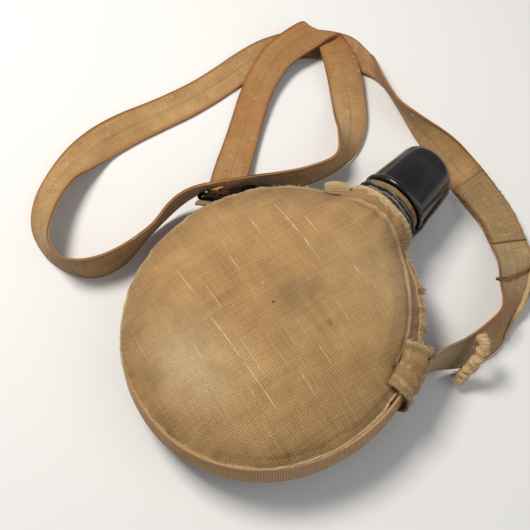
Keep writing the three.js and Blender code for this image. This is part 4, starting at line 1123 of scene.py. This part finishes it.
CAPB = 17.6
outer = [(CAPB, 122.2), (21.0, 122.1), (24.4, 122.15), (25.1, 122.5), (25.45, 123.3), (25.4, 124.6), (24.9, 125.5), (24.3, 126.2), (24.05, 128.0), (23.7, 132.0), (23.1, 138.0), (22.4, 146.0), (21.8, 153.0), (21.3, 158.0), (20.75, 161.3), (19.9, 163.6), (18.4, 165.6), (16.2, 167.2), (13.0, 168.4), (9.0, 169.1), (4.6, 169.45), (0.4, 169.5)]
inner = [(0.4, 151.0), (8, 151.0), (15.6, 151.0), (16.9, 150.4), (17.5, 149.2), (CAPB, 146.0), (CAPB, 140), (CAPB, 134.0), (CAPB, 128.0), (CAPB, 124.0)]
pr = np.concatenate([smooth_profile(outer, 4), smooth_profile(inner, 3)])
cap = lathe_neck("cap_moulding", pr, 180, M_CAP, wob=lambda T, r, y: (0.10 * noise(np.stack([np.cos(T) * 2, np.sin(T) * 2, y * 0.08], -1), 1.0, 401), 0 * y))
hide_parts("screw_cap")
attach(cap, "cap")

dirv = np.array([0.86, 0, -0.51]); wvv = np.cross([0, 1.0, 0], dirv)
pf = catmull([(25.6, 108.5, 0), (26.9, 110.5, 0), (27.2, 115, 0), (27.6, 120, 0), (27.7, 126, 0), (26.4, 134, 0), (25.6, 144, 0), (24.8, 154, 0), (23.9, 160.5, 0), (22.2, 165.5, 0), (19.0, 168.9, 0), (14.5, 171.1, 0), (9.5, 172.2, 0), (4.5, 172.35, 0), (0.5, 172.35, 0), (-4.8, 172.35, 0)], np.linspace(0, 1, 150))
c = dirv * pf[:, :1] + np.array([0, 1.0, 0]) * pf[:, 1:2] + np.array([0, 0, 31.0])
s = np.linspace(-0.5, 0.5, 11)
wid = 6.4 + 4.0 * sstep(pf[:, 0], 6, 1.0) * (pf[:, 1] > 170) + 3.0 * sstep(112 - pf[:, 1], 0, 3.5)
P = c[:, None] + wvv * (wid[:, None] * s[None])[..., None]
L = np.r_[0, np.cumsum(np.linalg.norm(np.diff(c, axis=0), axis=1))]
P = P + dirv * (0.35 * fbm(np.stack([L[:, None] + 0 * s, 6 * s + 0 * L[:, None], 0 * s + 0 * L[:, None]], -1), 0.12, 501) + 0.25 * (1 - (2 * s) ** 2))[..., None] * (pf[:, 1, None, None] < 168)
ret = sheet_solid("retaining_strap_leather", P, 1.3, np.stack([(s[None] + 0.5) * 6 + 0 * L[:, None], L[:, None] + 0 * s[None]], -1), M_HIDE2, None)
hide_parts("retaining_strap")
tuple(W((23, 112, 17)).tolist())
tuple(W((23, 160, 17)).tolist())
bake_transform(ret)

# ------------------------------------------------------------------ long pale slub yarns on the front
SLUBS = [[-51.3, 54.9, 3.2, 40.1, 0.55], [-21.3, -34.2, 51.2, -49.4, 0.6], [-63.5, -25.1, -40.4, -30.0, 0.4], [-56.6, 34.3, -39.2, 29.2, 0.45], [40.3, -22.4, 66.0, -28.3, 0.45], [13.1, -47.7, 37.3, -52.6, 0.4], [25.1, 27.3, 43.6, 21.8, 0.4], [-41.6, -20.8, -22.3, -25.2, 0.4], [15.8, 54.8, 31.4, 50.1, 0.4], [-45.7, 4.2, -31.7, 0.8, 0.35], [36.9, -2.2, 52.3, -6.1, 0.35], [-22.3, -53.1, -7.1, -56.3, 0.4], [43.4, -59.0, 61.2, -63.0, 0.4], [-29.1, 60.0, -13.5, 55.2, 0.35], [-60.5, 10.0, -50.0, 7.4, 0.3]]
from mathutils.bvhtree import BVHTree
bm_v = [Vector(v.co) for v in front.data.vertices]
bvh = BVHTree.FromPolygons(bm_v, [tuple(p.vertices) for p in front.data.polygons])
Vs, Fs = [], []
for k, (x0, y0, x1, y1, th_) in enumerate(SLUBS):
    L = math.hypot(x1 - x0, y1 - y0)
    n = max(8, int(L / 1.2))
    f = np.linspace(0, 1, n)
    x = x0 + (x1 - x0) * f
    y = y0 + (y1 - y0) * f
    jit = 0.25 * noise(np.stack([f * L, 0 * f + k * 7, 0 * f], -1), 0.25, 600)
    dx, dy = (x1 - x0) / L, (y1 - y0) / L
    x, y = x - dy * jit, y + dx * jit
    c = []
    for a1, b1 in zip(x, y):
        w_ = W((a1, b1, 90.0))
        hit = bvh.ray_cast(Vector(w_.tolist()), Vector((0, 0, -1)))
        c.append([a1, b1, (hit[0].z * 1000 if hit[0] else 60.0)])
    c = np.array(c)
    c[:, 2] += 0.05
    wdt = th_ * (0.55 + 0.6 * np.abs(noise(np.stack([f * L, 0 * f + k * 3, 0 * f], -1), 0.3, 610))) * np.sin(np.pi * np.clip(f, 0.03, 0.97)) ** 0.5
    o = sum(len(v) for v in Vs)
    S = np.array([-dy, dx, 0])
    sec_ = [(-1, 0), (-0.55, 0.62), (0, 0.8), (0.55, 0.62), (1, 0), (0, -0.8)]
    P = np.stack([c + S * (wdt * sx)[:, None] + np.array([0, 0, 1.0]) * (wdt * sz * 0.62)[:, None] for sx, sz in sec_], 1)
    Vs.append(P.reshape(-1, 3))
    Fs.append(grid_faces(n, 6, False, True, o))
slub = mesh("front_slub_yarns", np.concatenate(Vs), np.concatenate(Fs), None, None, M_YARN)
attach(slub, "canteen")

# ------------------------------------------------------------------ floor and light
bpy.ops.mesh.primitive_plane_add(size=8, location=(0, 0, -0.0002))
floor = bpy.context.object
floor.name = "floor"
fm = bpy.data.materials.new("floor")
fm.use_nodes = True
fm.node_tree.nodes["Principled BSDF"].inputs["Base Color"].default_value = (0.66, 0.65, 0.63, 1)
fm.node_tree.nodes["Principled BSDF"].inputs["Roughness"].default_value = 0.9
floor.data.materials.append(fm)


def area(name, pos, size, power, at_=(0, 0, 0.03), color=(1, 1, 1)):
    l = bpy.data.lights.new(name, "AREA")
    l.size = size
    l.energy = power
    l.color = color
    ob = bpy.data.objects.new(name, l)
    bpy.context.scene.collection.objects.link(ob)
    ob.location = pos
    ob.rotation_euler = (Vector(at_) - Vector(pos)).to_track_quat("-Z", "Y").to_euler()
    return ob


upf = Vector((-math.sin(a), math.cos(a), 0))
key = target - right * 0.42 + upf * 0.30 + Vector((0, 0, 0.95))
fill = target + right * 0.9 - upf * 0.5 + Vector((0, 0, 0.9))
area("key", key, 0.35, 13.0, target, (1.0, 0.965, 0.91))
area("fill", fill, 1.2, 5.0, target, (0.96, 0.98, 1.0))
world = bpy.data.worlds.new("world")
world.use_nodes = True
world.node_tree.nodes["Background"].inputs[0].default_value = (0.9, 0.93, 1.0, 1)
world.node_tree.nodes["Background"].inputs[1].default_value = 0.32
bpy.context.scene.world = world
bpy.context.scene.view_settings.view_transform = "Standard"
